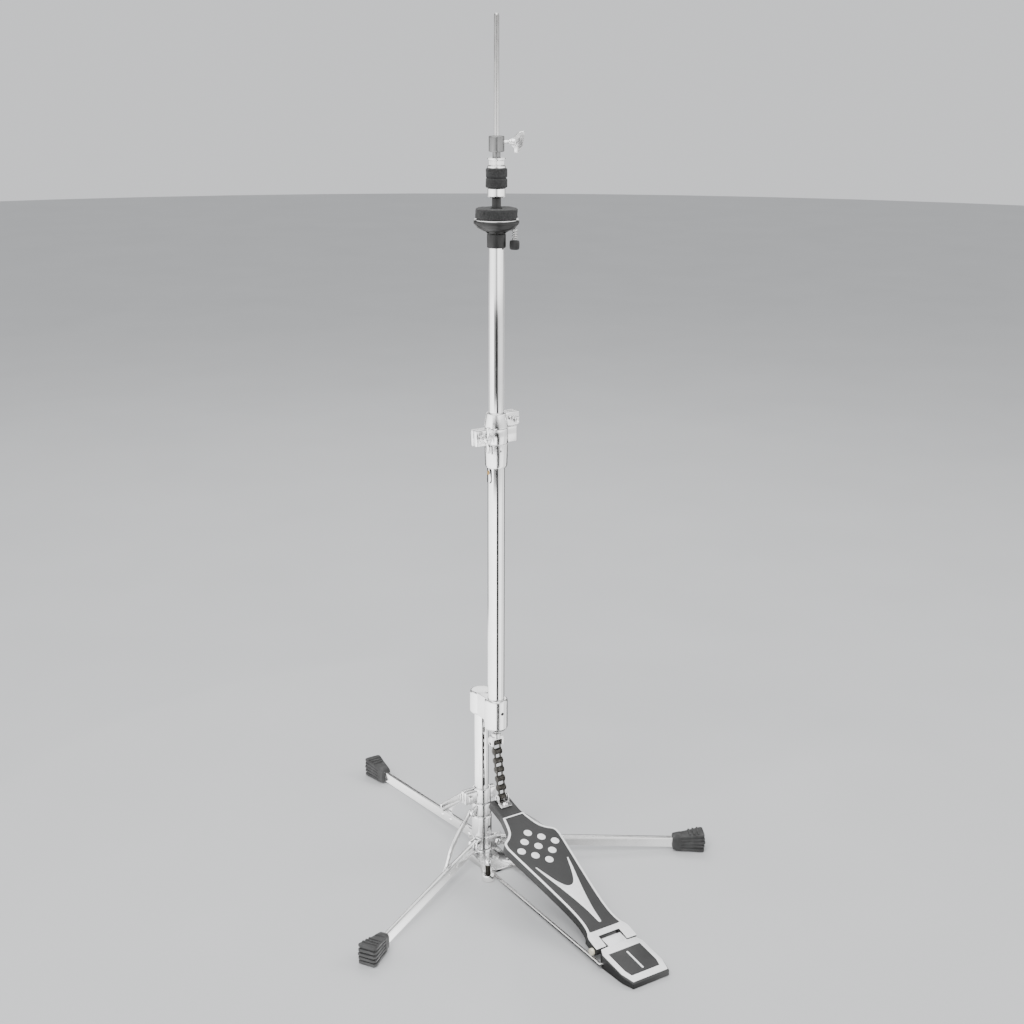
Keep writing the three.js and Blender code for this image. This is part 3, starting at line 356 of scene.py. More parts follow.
def wound(radius, wire, z0, z1, turns, centre=COLUMN, steps=28, sides=10):
    """A helix with z rising evenly, and flat closed turns at both ends."""
    t = np.linspace(0, 1, int(turns * steps) + 1)
    closed = 1.0 / turns
    eased = np.interp(t, [0, closed, 1 - closed, 1], [0, 0.02, 0.98, 1])
    angle = 2 * np.pi * turns * t
    z = z0 + wire + (z1 - z0 - 2 * wire) * eased
    path = np.c_[radius * np.cos(angle), radius * np.sin(angle), z]
    return moved(swept(path, circle(wire, count=sides)), np.asarray(centre, float) * [1, 1, 0])


def noise(points, size, seed, octaves=3):
    """Smooth random values from sums of sines along seeded directions."""
    source = np.random.default_rng(seed)
    total = np.zeros(len(points))
    for octave in range(octaves):
        for _ in range(8):
            direction = source.normal(size=3)
            waves = 2 * np.pi / size * 2**octave * source.uniform(0.7, 1.3)
            direction *= waves / np.linalg.norm(direction)
            total += np.sin(points @ direction + source.uniform(0, 2 * np.pi)) / 2**octave
    return total / 6


# ---------------------------------------------------------------- materials

materials = {}


class Finish:
    """A material whose nodes are added one after another."""

    def __init__(self, name, **uniform):
        self.material = bpy.data.materials.new(name)
        self.material.use_nodes = True
        self.tree = self.material.node_tree
        self.shader = self.tree.nodes["Principled BSDF"]
        for socket, value in uniform.items():
            self.shader.inputs[socket.replace("_", " ")].default_value = value
        self.place = self.node("ShaderNodeTexCoord").outputs["Object"]
        materials[name] = self.material

    def node(self, kind, **settings):
        made = self.tree.nodes.new(kind)
        for key, value in settings.items():
            setattr(made, key, value)
        return made

    def link(self, output, target):
        self.tree.links.new(output, target)

    def stretched(self, scale):
        mapping = self.node("ShaderNodeMapping")
        mapping.inputs["Scale"].default_value = scale
        self.link(self.place, mapping.inputs["Vector"])
        return mapping.outputs["Vector"]

    def noise(self, scale, detail=4.0, stretch=None, roughness=0.55):
        texture = self.node("ShaderNodeTexNoise")
        texture.inputs["Scale"].default_value = scale
        texture.inputs["Detail"].default_value = detail
        texture.inputs["Roughness"].default_value = roughness
        self.link(self.stretched(stretch) if stretch else self.place, texture.inputs["Vector"])
        return texture.outputs["Fac"]

    def cells(self, scale, stretch=None):
        texture = self.node("ShaderNodeTexVoronoi")
        texture.inputs["Scale"].default_value = scale
        self.link(self.stretched(stretch) if stretch else self.place, texture.inputs["Vector"])
        return texture.outputs["Distance"]

    def spread(self, value, least, most, start=0.3, end=0.7):
        span = self.node("ShaderNodeMapRange")
        for key, number in zip(("From Min", "From Max", "To Min", "To Max"), (start, end, least, most)):
            span.inputs[key].default_value = number
        self.link(value, span.inputs["Value"])
        return span.outputs["Result"]

    def colours(self, value, *stops):
        ramp = self.node("ShaderNodeValToRGB").color_ramp
        node = self.tree.nodes[-1]
        while len(ramp.elements) < len(stops):
            ramp.elements.new(0.5)
        for element, (place, colour) in zip(ramp.elements, stops):
            element.position = place
            element.color = (*colour, 1.0)
        self.link(value, node.inputs["Fac"])
        self.link(node.outputs["Color"], self.shader.inputs["Base Color"])

    def rough(self, value):
        self.link(value, self.shader.inputs["Roughness"])

    def bump(self, strength, depth_m, *values):
        normal = None
        for value in values:
            node = self.node("ShaderNodeBump")
            node.inputs["Strength"].default_value = strength
            node.inputs["Distance"].default_value = depth_m
            self.link(value, node.inputs["Height"])
            if normal:
                self.link(normal, node.inputs["Normal"])
            normal = node.outputs["Normal"]
        self.link(normal, self.shader.inputs["Normal"])


def grey(level, warm=0.0):
    return (level * (1 + warm), level, level * (1 - warm))


def plating(name, level, gloss, wave_m, streak=None, warm=0.0):
    """Chrome plating: faint cloudiness in the gloss, a slight wave in the surface and fine marks."""
    made = Finish(name, Metallic=1.0)
    cloud = made.noise(38.0, 5.0)
    made.colours(cloud, (0.35, grey(level * 0.93, warm)), (0.7, grey(level, warm)))
    made.rough(made.spread(made.noise(210.0, 6.0, streak), gloss * 0.75, gloss * 1.6))
    made.bump(0.25, wave_m, made.noise(95.0, 3.0), made.noise(1400.0, 2.0, streak))
    return made


plating("tube_chrome", 0.88, 0.085, 0.00006, (1.0, 1.0, 0.12))
plating("rod_steel", 0.5, 0.22, 0.00003, (1.0, 1.0, 0.2), 0.01)
plating("cast_chrome", 0.87, 0.14, 0.00018)
plating("fitting_chrome", 0.9, 0.07, 0.00005)
plating("leg_chrome", 0.88, 0.16, 0.0001)
plating("wing_chrome", 0.9, 0.26, 0.00012)
plating("clutch_metal", 0.2, 0.3, 0.00008, (1.0, 1.0, 0.08))
plating("plain_steel", 0.72, 0.2, 0.0001, (0.2, 1.0, 1.0))
plating("spring_steel", 0.42, 0.28, 0.00008)


def dark_steel():
    """Oiled chain steel: brown-grey with darker grease in patches and worn bright spots."""
    made = Finish("dark_steel", Metallic=0.9)
    made.colours(
        made.noise(420.0, 6.0), (0.3, (0.012, 0.011, 0.01)), (0.58, (0.05, 0.047, 0.042)),
        (0.8, (0.26, 0.25, 0.235))
    )
    made.rough(made.spread(made.noise(300.0, 4.0), 0.25, 0.55))
    made.bump(0.4, 0.0001, made.noise(900.0, 4.0))


def satin_paint(name, level, speck):
    """Powder paint: a fine orange-peel surface with small lighter specks."""
    made = Finish(name, Specular_IOR_Level=0.35)
    made.colours(
        made.noise(2600.0, 3.0, None, 0.7), (0.35, grey(level * 0.86)), (0.6, grey(level)),
        (0.78, grey(level * speck))
    )
    made.rough(made.spread(made.noise(70.0, 4.0), 0.42, 0.55))
    made.bump(0.35, 0.00012, made.noise(1500.0, 2.0), made.noise(240.0, 2.0))


def bright_inlay():
    """Milled bright metal: near-white with short milling lines along the board."""
    made = Finish("bright_inlay", Metallic=0.15, Specular_IOR_Level=0.5)
    made.colours(made.noise(130.0, 5.0, (6.0, 1.0, 1.0)), (0.3, grey(0.86)), (0.7, grey(0.97)))
    made.rough(made.spread(made.noise(700.0, 3.0, (8.0, 0.4, 1.0)), 0.28, 0.42))
    made.bump(0.25, 0.00006, made.noise(1800.0, 2.0, (1.0, 0.1, 1.0)))


def moulded_black():
    """Moulded plastic: nearly black, with a fine matt texture and softer patches of gloss."""
    made = Finish("black_plastic", Specular_IOR_Level=0.35)
    made.colours(made.noise(60.0, 3.0), (0.3, grey(0.007)), (0.7, grey(0.014)))
    made.rough(made.spread(made.noise(180.0, 4.0), 0.3, 0.46))
    made.bump(0.3, 0.00006, made.noise(2400.0, 2.0))


def knit_felt():
    """Pressed wool: dark fibres with lighter ones on top, a deep fuzzy surface and a sheen."""
    made = Finish("felt", Sheen_Weight=0.12, Sheen_Roughness=0.6, Specular_IOR_Level=0.1)
    fibres = made.noise(1150.0, 8.0, (1.0, 1.0, 1.6), 0.8)
    made.colours(fibres, (0.36, grey(0.004)), (0.5, grey(0.018)), (0.6, grey(0.08)), (0.72, grey(0.26)))
    made.rough(made.spread(made.noise(900.0, 4.0), 0.86, 1.0))
    made.bump(0.9, 0.0005, fibres, made.cells(1500.0))


def foot_rubber():
    """Moulded rubber: charcoal with a bloom on it, matt, with a fine sandy texture."""
    made = Finish("rubber", Specular_IOR_Level=0.35)
    made.colours(made.noise(90.0, 6.0), (0.3, grey(0.026)), (0.55, grey(0.042)), (0.75, grey(0.07)))
    made.rough(made.spread(made.noise(160.0, 4.0), 0.55, 0.8))
    made.bump(0.5, 0.00015, made.noise(1900.0, 4.0), made.noise(400.0, 3.0))


def plain_colour(name, low_colour, high_colour, gloss, scale=200.0, metal=0.0, shine=0.5):
    made = Finish(name, **{"Metallic": metal, "Specular IOR Level": shine})
    made.colours(made.noise(scale, 4.0), (0.35, low_colour), (0.7, high_colour))
    made.rough(made.spread(made.noise(scale * 2, 3.0), gloss * 0.85, gloss * 1.2))
    made.bump(0.2, 0.00004, made.noise(scale * 6, 2.0))


dark_steel()
satin_paint("board_paint", 0.03, 1.6)
satin_paint("heel_paint", 0.028, 1.6)
bright_inlay()
moulded_black()
knit_felt()
foot_rubber()
plain_colour("badge_black", grey(0.006), grey(0.012), 0.42, shine=0.12)
plain_colour("badge_gold", (0.5, 0.3, 0.09), (0.66, 0.42, 0.14), 0.3, metal=0.9)
plain_colour("pin_cream", (0.62, 0.58, 0.46), (0.74, 0.71, 0.6), 0.35)
# Painted recess shade: a near-black colour for the screw heads sunk in their holes, standing for the shade
# inside the holes.
plain_colour("recess_painted_shade", grey(0.004), grey(0.01), 0.6)


# ---------------------------------------------------------------- pieces

SMOOTH_BELOW = math.radians(38)


def placed(name, data):
    """A new object at the origin, in the scene."""
    made = bpy.data.objects.new(name, data)
    bpy.context.scene.collection.objects.link(made)
    return made


def joined(name, shells):
    """One mesh, in metres, from several closed shells given in millimetres in the row frame."""
    points, faces, start = [], [], 0
    for shell_points, groups in shells:
        points.append(shell_points)
        for group in groups:
            faces += (group + start).tolist()
        start += len(shell_points)
    mesh = bpy.data.meshes.new(name)
    mesh.from_pydata(np.concatenate(points) * MM, [], faces)
    return mesh


def smoothed(mesh):
    """Smooth shading, with an edge left sharp where the faces turn by more than SMOOTH_BELOW."""
    mesh.polygons.foreach_set("use_smooth", np.ones(len(mesh.polygons), bool))
    mesh.set_sharp_from_angle(angle=SMOOTH_BELOW)


def piece(name, shells, body, finish, *stands_for, slot=None):
    """One object that rides a body and stands for the named nodes. The slot argument is not used."""
    mesh = joined(name, shells)
    smoothed(mesh)
    mesh.materials.append(materials[finish])
    made = placed(name, mesh)
    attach(made, body)
    if stands_for:
        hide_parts(*stands_for)
    return made


def carved(made, cutters):
    """Takes closed cutter shells out of a piece, so that slits and screw holes are real recesses."""
    cutter = placed("cutter", joined("cutter", cutters))
    modifier = made.modifiers.new("recess", "BOOLEAN")
    modifier.object = cutter
    modifier.operation = "DIFFERENCE"
    modifier.solver = "MANIFOLD"
    bpy.context.view_layer.update()
    evaluated = made.evaluated_get(bpy.context.evaluated_depsgraph_get())
    result = bpy.data.meshes.new_from_object(evaluated)
    result.validate()
    made.modifiers.clear()
    made.data = result
    smoothed(result)
    bpy.data.objects.remove(cutter)


def at_seat(shell):
    """From the seat's own frame, whose X points to the clutch bolt, to the row frame."""
    return moved(shell, COLUMN, turn("Z", SEAT_TURN))


def at_board(shell):
    """From the board's frame, with Y up the slope from the hinge pin, to the row frame."""
    return moved(shell, HINGE, turn("X", BOARD_SLOPE))


# ---- tubes and rod


def add_tubes():
    for name, (outer, inner), body, node, centre in (
        ("lower_tube_skin", (11.1, 9.9), "frame", "lower_tube", COLUMN),
        ("upper_tube_skin", (9.55, 8.35), "top_tube", "upper_tube", COLUMN),
        ("pillar_skin", (9.55, 8.35), "frame", "pillar_tube", PILLAR),
    ):
        piece(name, [pipe(outer, inner, *span(node), centre, soft=0.5)], body, "tube_chrome", node)
    foot, head = span("pull_rod")
    profile = [
        (0, foot), (ROD_RADIUS, foot), (ROD_RADIUS, head - 3), (2.4, head - 0.6), (1.4, head), (0, head)
    ]
    piece("pull_rod_skin", [turned(profile, soft=0.5, sides=48)], "rod", "rod_steel", "pull_rod")
    piece("lower_rod_skin", [shaft(ROD_RADIUS, *span("lower_rod"))], "rod", "rod_steel", "lower_rod")


# ---- clutch


def knurled(profile_low, profile_high, radius, ridges, depth, centre=COLUMN, rows=6):
    """A band whose radius is radius + depth |sin(ridges a / 2)|, with plain rims."""
    sides = ridges * 6
    angle = np.linspace(0, 2 * np.pi, sides, endpoint=False)
    height = np.linspace(profile_low, profile_high, rows)
    ease = np.minimum(1, np.minimum(np.arange(rows), np.arange(rows)[::-1]))[:, None]
    reach = radius + depth * ease * (np.abs(np.sin(ridges * angle / 2))[None, :] - 0.3)
    grid = np.stack(
        [reach * np.cos(angle), reach * np.sin(angle), np.broadcast_to(height[:, None], reach.shape)], -1
    )
    points, faces = lofted(grid)
    return points + np.asarray(centre, float) * [1, 1, 0], faces


def felt_disc(radius, inner, z0, z1, seed, ripple):
    """A thick ring of felt: rounded rims, and a surface pushed in and out by smooth random values."""
    height = z1 - z0
    soft = min(1.8, height * 0.2)
    profile = [(inner, z0)]
    profile += [(r, z0) for r in np.linspace(inner + 1.5, radius - soft, 9)]
    profile += [
        (radius - soft * (1 - math.sin(a)), z0 + soft * (1 - math.cos(a))) for a in np.linspace(0.3, 1.57, 5)
    ]
    profile += [(radius, z) for z in np.linspace(z0 + soft + 0.8, z1 - soft - 0.8, 8)]
    profile += [
        (radius - soft * (1 - math.cos(a)), z1 - soft * (1 - math.sin(a))) for a in np.linspace(0, 1.27, 5)
    ]
    profile += [(r, z1) for r in np.linspace(radius - soft, inner + 1.5, 9)]
    profile += [(inner, z1)]
    points, faces = turned(profile, ORIGIN, 0, 150, ring=True)
    away = points / np.maximum(np.linalg.norm(points[:, :2], axis=1), 1e-6)[:, None] * [1, 1, 0]
    outer = np.clip((np.linalg.norm(points[:, :2], axis=1) - inner - 1) / 3, 0, 1)[:, None]
    points = points + away * outer * (
        noise(points, 9.0, seed)[:, None] * ripple + noise(points, 1.6, seed + 1, 2)[:, None] * 0.22
    )
    lift = noise(points * [1, 1, 0.1], 16.0, seed + 2)[:, None] * ripple * 0.8
    lift += noise(points, 1.8, seed + 3, 2)[:, None] * 0.2
    upper = np.clip((points[:, 2:] - z0) / height, 0, 1)
    points = points + np.array([0, 0, 1]) * outer * lift * upper
    return moved((points, faces), COLUMN)


def add_clutch():
    sleeve, body_top = span("clutch_body")
    body_low = body_top - 19.0
    z0, z1 = span("clutch_lock_nut")
    neck_low = z0 + 2
    profile = [
        (6.15, sleeve), (8, sleeve), (8, neck_low), (4.85, neck_low + 1), (4.85, body_low),
        (8.8, body_low), (9.6, body_low + 0.9), (9.6, body_top - 0.9), (8.8, body_top), (3.4, body_top),
        (3.4, neck_low - 2.4), (6.15, neck_low - 3),
    ]
    piece(
        "clutch_body_skin",
        [turned(profile, soft=0.35, sides=96, ring=True)],
        "clutch", "clutch_metal", "clutch_body",
    )
    lock = turned(
        [(8.35, z0), (11.4, z0), (11.4, z0 + 2.2), (9.3, z0 + 3.2), (8.7, z0 + 3.3), (8.7, z1 - 3),
         (9.3, z1 - 2.9), (11.4, z1 - 2), (11.4, z1), (5.2, z1), (5.2, z1 - 9), (8.35, z1 - 10)],
        soft=0.35, sides=96, ring=True,
    )
    slots = [
        moved(
            shaft(0.55, z0 + 3.6, z1 - 3.4, ORIGIN, 0.2, 10),
            COLUMN + [8.7 * math.cos(a), 8.7 * math.sin(a), 0]
        )
        for a in np.linspace(0, 2 * np.pi, 30, endpoint=False)
    ]
    piece("clutch_lock_skin", [lock] + slots, "clutch", "fitting_chrome", "clutch_lock_nut")
    z0, z1 = span("clutch_nut")
    nut = turned(
        [(8.35, z0), (9.4, z0), (11.1, z0 + 1.4), (11.1, z1 - 0.6), (10.6, z1), (8.35, z1)],
        soft=0.4, sides=96, ring=True,
    )
    piece("clutch_nut_skin", [nut], "clutch_bottom_nut", "fitting_chrome", "clutch_nut")
    piece(
        "clutch_felts",
        [felt_disc(13.0, 8.4, *span("clutch_felt_upper"), seed=11, ripple=0.35),
         felt_disc(13.3, 8.4, *span("clutch_felt_lower"), seed=23, ripple=0.35)],
        "clutch", "felt", "clutch_felt_upper", "clutch_felt_lower",
    )
    bolt_z = (bottom("clutch_wing_bolt") + top("clutch_wing_bolt")) / 2
    wing = rounded(
        [(17, -3), (20.4, -6.2), (21.6, -13), (27.1, -13.1), (31.6, -5), (32.6, -1.5), (33.6, 4),
         (34.2, 12.4), (32.6, 13.2), (27.9, 12.6), (20.4, 5.2), (17, 3)],
        1.6, steps=6,
    )
    shells = [
        bar_x(1.9, 0, 0, 3.8, 18),
        bar_x(3.4, 0, 0, 15.2, 20.6, 0.9),
        bar_x(4.5, 0, 0, 17.6, 23.4, 1.4),
        upright(wing, -1.8, 1.8, 0.6),
    ]
    piece(
        "clutch_wing_skin",
        [at_seat(moved(mended(s), (0, 0, bolt_z), turn("X", 12))) for s in shells],
        "clutch_bolt", "wing_chrome", "clutch_wing_bolt", slot="fitting_chrome",
    )


# ---- seat


def add_seat():
    z0, z1 = span("seat_cup")
    floor_z = z0 + 3.4
    cup = turned(
        [(4.4, z0), (11.8, z0), (11.8, floor_z - 0.6), (18.5, floor_z + 0.3), (21.4, floor_z + 1.8),
         (24.4, floor_z + 3.9), (28.0, floor_z + 8.2), (28.4, floor_z + 9.6), (28.4, z1 - 0.6),
         (27.6, z1), (6.1, z1), (6.1, floor_z + 1), (4.4, floor_z + 1)],
        soft=0.9, sides=120, ring=True,
    )
    rib = upright(rounded([(12, floor_z + 0.4), (18, floor_z + 0.8), (12, z0 + 0.4)], 0.4), -0.6, 0.6, 0.2)
    ribs = [at_seat(moved(rib, ORIGIN, turn("Z", a))) for a in range(30, 390, 60)]
    piece("seat_cup_skin", [cup] + [mended(r) for r in ribs], "top_tube", "black_plastic", "seat_cup")
    c0, c1 = span("tube_collar")
    collar = turned(
        [(9.9, c0), (11.2, c0), (11.8, c0 + 0.8), (11.8, c1), (9.9, c1)], soft=0.4, sides=96, ring=True
    )
    piece("tube_collar_skin", [collar], "top_tube", "black_plastic", "tube_collar")
    piece(
        "seat_stem_skin",
        [pipe(5.6, 3.5, *span("seat_stem"), soft=0.6, sides=72)],
        "top_tube", "black_plastic", "seat_stem",
    )
    w0, w1 = span("seat_washer")
    washer = turned(
        [(7.7, w0), (27.2, w0), (27.6, w0 + 0.7), (27.2, w1), (25.6, w1 - 0.2), (7.7, w1 - 0.2)],
        soft=0.3, sides=120, ring=True,
    )
    piece("seat_washer_skin", [washer], "seat_top", "fitting_chrome", "seat_washer", slot="plain_steel")
    piece(
        "seat_felt_skin",
        [felt_disc(25.9, 7.7, bottom("seat_felt"), top("seat_felt") - 0.5, seed=41, ripple=0.6)],
        "seat_top", "felt", "seat_felt",
    )
    reach = np.array([22.4, 0, 0])
    centre = turn("Z", SEAT_TURN) @ reach + COLUMN
    s0, s1 = span("tilt_screw")
    thread = [(2.05 if k % 2 else 1.7, z) for k, z in enumerate(np.linspace(s0, s1, 53))]
    thread = [(0, s0), *thread, (0, s1)]
    piece("tilt_screw_skin", [turned(thread, centre, 0, 36)], "tilt_knob_body", "plain_steel", "tilt_screw")
    piece(
        "tilt_spring_skin",
        [wound(3.25, 0.52, *span("tilt_spring"), 6, centre)],
        "top_tube", "plain_steel", "tilt_spring", slot="spring_steel",
    )
    k0, k1 = span("tilt_knob")
    knob = [
        knurled(k0 + 0.8, k1 - 0.8, 5.9, 24, 0.5, centre, rows=5),
        turned(
            [(0, k0), (5.2, k0), (5.7, k0 + 0.8), (5.7, k1 - 1.1), (5.2, k1 - 0.2), (2.4, k1 - 0.2),
             (2.4, k1 - 5), (0, k1 - 5)],
            centre, 0.3, 48,
        ),
    ]
    piece("tilt_knob_skin", knob, "tilt_knob_body", "black_plastic", "tilt_knob")


# ---- height clamp and stop ring

BOLT_X = -24.0


def half_band(side, z0, z1):
    """Half of the clamp: an arc round the tube with a long flat to the left and a short one to the right."""
    outer, inner, ear = 15.5, 11.65, 7.9
    meet = math.asin(ear / outer)
    a = np.linspace(math.pi - meet, meet, 40)
    b = np.linspace(0.06, math.pi - 0.06, 40)
    flats_left = rounded([(-15, 0.5), (-35, 0.5), (-35, ear), (-15, ear)], [0.1, 1.2, 3.0, 0.1], False)
    flats_right = rounded([(15, ear), (27.5, ear), (27.5, 0.5), (13, 0.5)], [0.1, 2.6, 1.0, 0.1], False)
    outline = np.r_[flats_left, arc(outer, a), flats_right, arc(inner, b)]
    return mended(moved(prism(outline * [1, side], z0, z1, 0.7), COLUMN))


def add_height_clamp():
    z0, z1 = span("height_clamp")
    band = z0 + 32
    middle = band + 10
    cone = turned(
        [(11.6, z0), (13.0, z0), (14.2, z0 + 2.6), (15.2, band), (11.6, band)],
        soft=1.0, sides=120, ring=True,
    )
    clamp = piece(
        "height_clamp_skin", [cone, half_band(1, band - 0.4, z1)], "frame", "cast_chrome", "height_clamp"
    )
    slit = moved(
        prism(box_outline(10.0, 17, -1.1, 1.1, 0.6), band - 12.5, band - 0.9, 0.2), COLUMN, turn("Z", 215)
    )
    hole = moved(bar_x(1.7, 0, band - 8.5, 10.5, 17, 0.1, 24), COLUMN, turn("Z", 258))
    carved(clamp, [slit, hole])
    jaw = [
        half_band(-1, bottom("height_clamp_jaw"), z1),
        moved(bar_y(6.2, BOLT_X, middle, -10.6, -7.5, 0.8), COLUMN),
    ]
    piece("height_jaw_skin", jaw, "frame", "cast_chrome", "height_clamp_jaw")
    bush = pipe(10.9, 9.95, *span("tube_bush"))
    piece("tube_bush_skin", [bush], "frame", "black_plastic", "tube_bush")
    neck = 11.4
    blade = rounded(
        [(neck + 0.5, -3.4), (neck + 4, -12), (neck + 5.5, -17), (neck + 9.5, -17), (neck + 12.5, -9),
         (neck + 8.6, -4.2), (neck + 8.6, 4.2), (neck + 12.5, 9), (neck + 9.5, 17), (neck + 5.5, 17),
         (neck + 4, 12), (neck + 0.5, 3.4)],
        1.8, steps=6,
    )
    shells = [
        bar_x(2.8, 0, 0, -11, neck + 1),
        bar_x(4.7, 0, 0, neck, neck + 8.6, 1.2),
        moved(dome(3.9, 1.3, 0), (neck + 8.4, 0, 0), turn("Y", 90)),
        upright(blade, -2.1, 2.1, 1.1),
        sideways(hexagon(5.0), -12, -8.5, 0.4),
    ]
    piece(
        "height_wing_skin",
        [mended(moved(s, COLUMN + [BOLT_X, 0, middle], turn("Z", -90))) for s in shells],
        "height_bolt", "fitting_chrome", "height_wing_bolt",
    )


def add_stop_ring():
    z0, z1 = span("memory_lock")
    cone = turned(
        [(10.0, z0), (15.2, z0), (15.6, z0 + 1.0), (12.6, z1 - 1.2), (11.6, z1), (10.0, z1)],
        soft=0.7, sides=120, ring=True,
    )
    ear = box_outline(9, 31, z0 + 1, z1 - 0.6, [0.2, 3.2, 3.2, 0.2])
    ears = [mended(moved(upright(ear, y0, y0 + 5.9, 0.8), COLUMN)) for y0 in (-6.5, 0.6)]
    ring = piece("stop_ring_skin", [cone] + ears, "stop_ring", "cast_chrome", "memory_lock")
    core = shaft(10.0, z0 - 2, z1 + 2, soft=0, sides=120)
    split = moved(prism(box_outline(8, 18, -0.6, 0.6, 0.1), z0 - 2, z1 + 2, 0), COLUMN)
    carved(ring, [core, split])
    middle = (z0 + z1) / 2
    x = 23.0
    wing = rounded([(-4.2, -5.6), (4.2, -5.6), (2.6, 0), (4.2, 5.6), (-4.2, 5.6), (-2.6, 0)], 1.2, steps=5)
    shells = [
        bar_y(2.4, x, middle, -9, 9),
        bar_y(4.3, x, middle, -9.0, -6.8, 0.8),
        moved(upright(wing * [0.72, 0.72], -15.2, -8.6, 0.7), (x, 0, middle)),
        moved(upright(hexagon(4.6), 6.8, 10.1, 0.4), (x, 0, middle)),
    ]
    key = [mended(moved(s, COLUMN)) for s in shells]
    piece("stop_key_skin", key, "key_bolt", "fitting_chrome", "memory_key_bolt")


def add_badge():
    """A thin curved plate, rounded at its ends, with a plain raised lozenge."""
    z0, z1 = span("badge")
    middle, half = math.radians(174), math.radians(31)
    outline = box_outline(-1, 1, -1, 1, 0.45, 8)
    mark = rounded([(-0.42, 0.32), (0, 0.02), (0.42, 0.32), (0, 0.78)], 0.12, steps=4)

    def curved(shape, inner, outer):
        angle = middle + half * shape[:, 0]
        z = (z0 + z1) / 2 + (z1 - z0) / 2 * shape[:, 1]
        grid = [np.c_[r * np.cos(angle), r * np.sin(angle), z] for r in (inner, outer)]
        return moved(lofted(np.array(grid)), COLUMN)

    piece("badge_plate", [curved(outline, 11.15, 11.75)], "frame", "badge_black", "badge")
    piece("badge_mark", [curved(mark, 11.7, 11.9)], "frame", "badge_gold", slot="badge_black")


# ---- offset block


def add_offset_block():
    z0, z1 = span("offset_block")
    lobe, low_lobe = 15.6, z1 - 33
    column_lobe = turned(
        [(0, z0), (lobe - 3.4, z0), (lobe, z0 + 3.8), (lobe, z1 - 2.2), (lobe - 2.2, z1), (0, z1)],
        soft=1.2, sides=120,
    )
    pillar_lobe = turned(
        [(0, low_lobe), (lobe - 2.6, low_lobe), (lobe, low_lobe + 2.6), (lobe, z1 - 2.2),
         (lobe - 2.2, z1), (0, z1)],
        PILLAR, 1.2, 120,
    )
    web = prism(box_outline(-12.6, 12.6, -37, 1, 0.5), low_lobe + 0.2, z1 - 0.1, 1.6)
    block = piece(
        "offset_block_skin", [column_lobe, pillar_lobe, web], "frame", "cast_chrome", "offset_block"
    )
    bore = shaft(11.4, z0 + 4, z1 + 3, soft=0, sides=96)
    rod_hole = shaft(5.1, z0 - 3, z0 + 6, soft=0, sides=48)
    pillar_bore = shaft(PILLAR_BORE, low_lobe - 3, z1 - 4, PILLAR, 0, 96)
    screw = moved(bar_y(2.3, 0, z1 - 18, -20, -12.6, 0.1, 32), COLUMN)
    carved(block, [bore, rod_hole, pillar_bore, screw])
    # The grub screw carries the near-black painted recess shade of its hole.
    grub = moved(bar_y(2.1, 0, z1 - 18, -14.2, -12.4, 0.4, 24), COLUMN)
    piece("offset_block_screw", [grub], "frame", "recess_painted_shade", slot="dark_steel")


# ---- spring and coupler inside the tube, yoke and chain


def add_drive():
    spring_foot, spring_head = span("return_spring")
    spring = piece(
        "return_spring_skin", [wound(6.4, 0.8, spring_foot, spring_head, 9, sides=10)],
        "frame", "spring_steel", "return_spring",
    )
    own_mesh(spring)
    piece(
        "spring_cup_skin", [pipe(9.4, 4.1, *span("spring_cup"))],
        "frame", "plain_steel", "spring_cup",
    )
    piece(
        "rod_fittings",
        [pipe(6, 3.5, *span("rod_coupler")), pipe(8.6, 3.5, *span("spring_nut"))],
        "rod", "plain_steel", "rod_coupler", "spring_nut",
    )
    pin_z = bottom("chain_yoke") + 4
    crown = pin_z + 5
    yoke_top = top("chain_yoke")
    head = turned(
        [(3.5, crown + 2), (6.4, crown + 2), (6.4, yoke_top - 1.2), (5.4, yoke_top), (3.5, yoke_top)],
        soft=0.5, sides=64, ring=True,
    )
    left = [(-6.5, crown - 1), (-6.5, pin_z - 2.4), (-7.0, pin_z - 4), (-8.4, pin_z - 4), (-9.2, pin_z - 3)]
    top_edge = [(-10, crown + 1.5), (-8.6, crown + 5), (8.6, crown + 5), (10, crown + 1.5)]
    right = [(-x, z) for x, z in reversed(left)]
    arch = rounded([*top_edge, *right, (5.4, crown + 0.4), (-5.4, crown + 0.4), *left], 0.5)
    yoke = piece(
        "chain_yoke_skin", [head, mended(moved(upright(arch, -5, 5, 0.4), COLUMN))],
        "rod", "plain_steel", "chain_yoke",
    )
    pin_hole = moved(bar_x(PIN_HOLE, 0, pin_z, -12, 12, 0, 32), COLUMN)
    carved(yoke, [shaft(3.5, crown + 2, yoke_top + 2, soft=0), pin_hole])
    add_chain(pin_z)


def link_plate(pitch, radius, waist):
    """Half width along the link: arcs at the two pins, joined by a cosine waist."""
    reach = math.radians(62)
    upper = np.linspace(-reach, math.pi + reach, 22)
    lower = np.linspace(math.pi - reach, 2 * math.pi + reach, 22)
    side = np.linspace(0, 1, 8)[1:-1]
    x0, z0 = radius * math.cos(-reach), radius * math.sin(-reach)
    z_run = -pitch - z0
    left = np.c_[-(x0 + (waist - x0) * np.sin(np.pi * side)), z0 + (z_run - z0) * side]
    right = left[::-1] * [-1, 1]
    return np.r_[arc(radius, upper), left, arc(radius, lower) - [0, pitch], right]


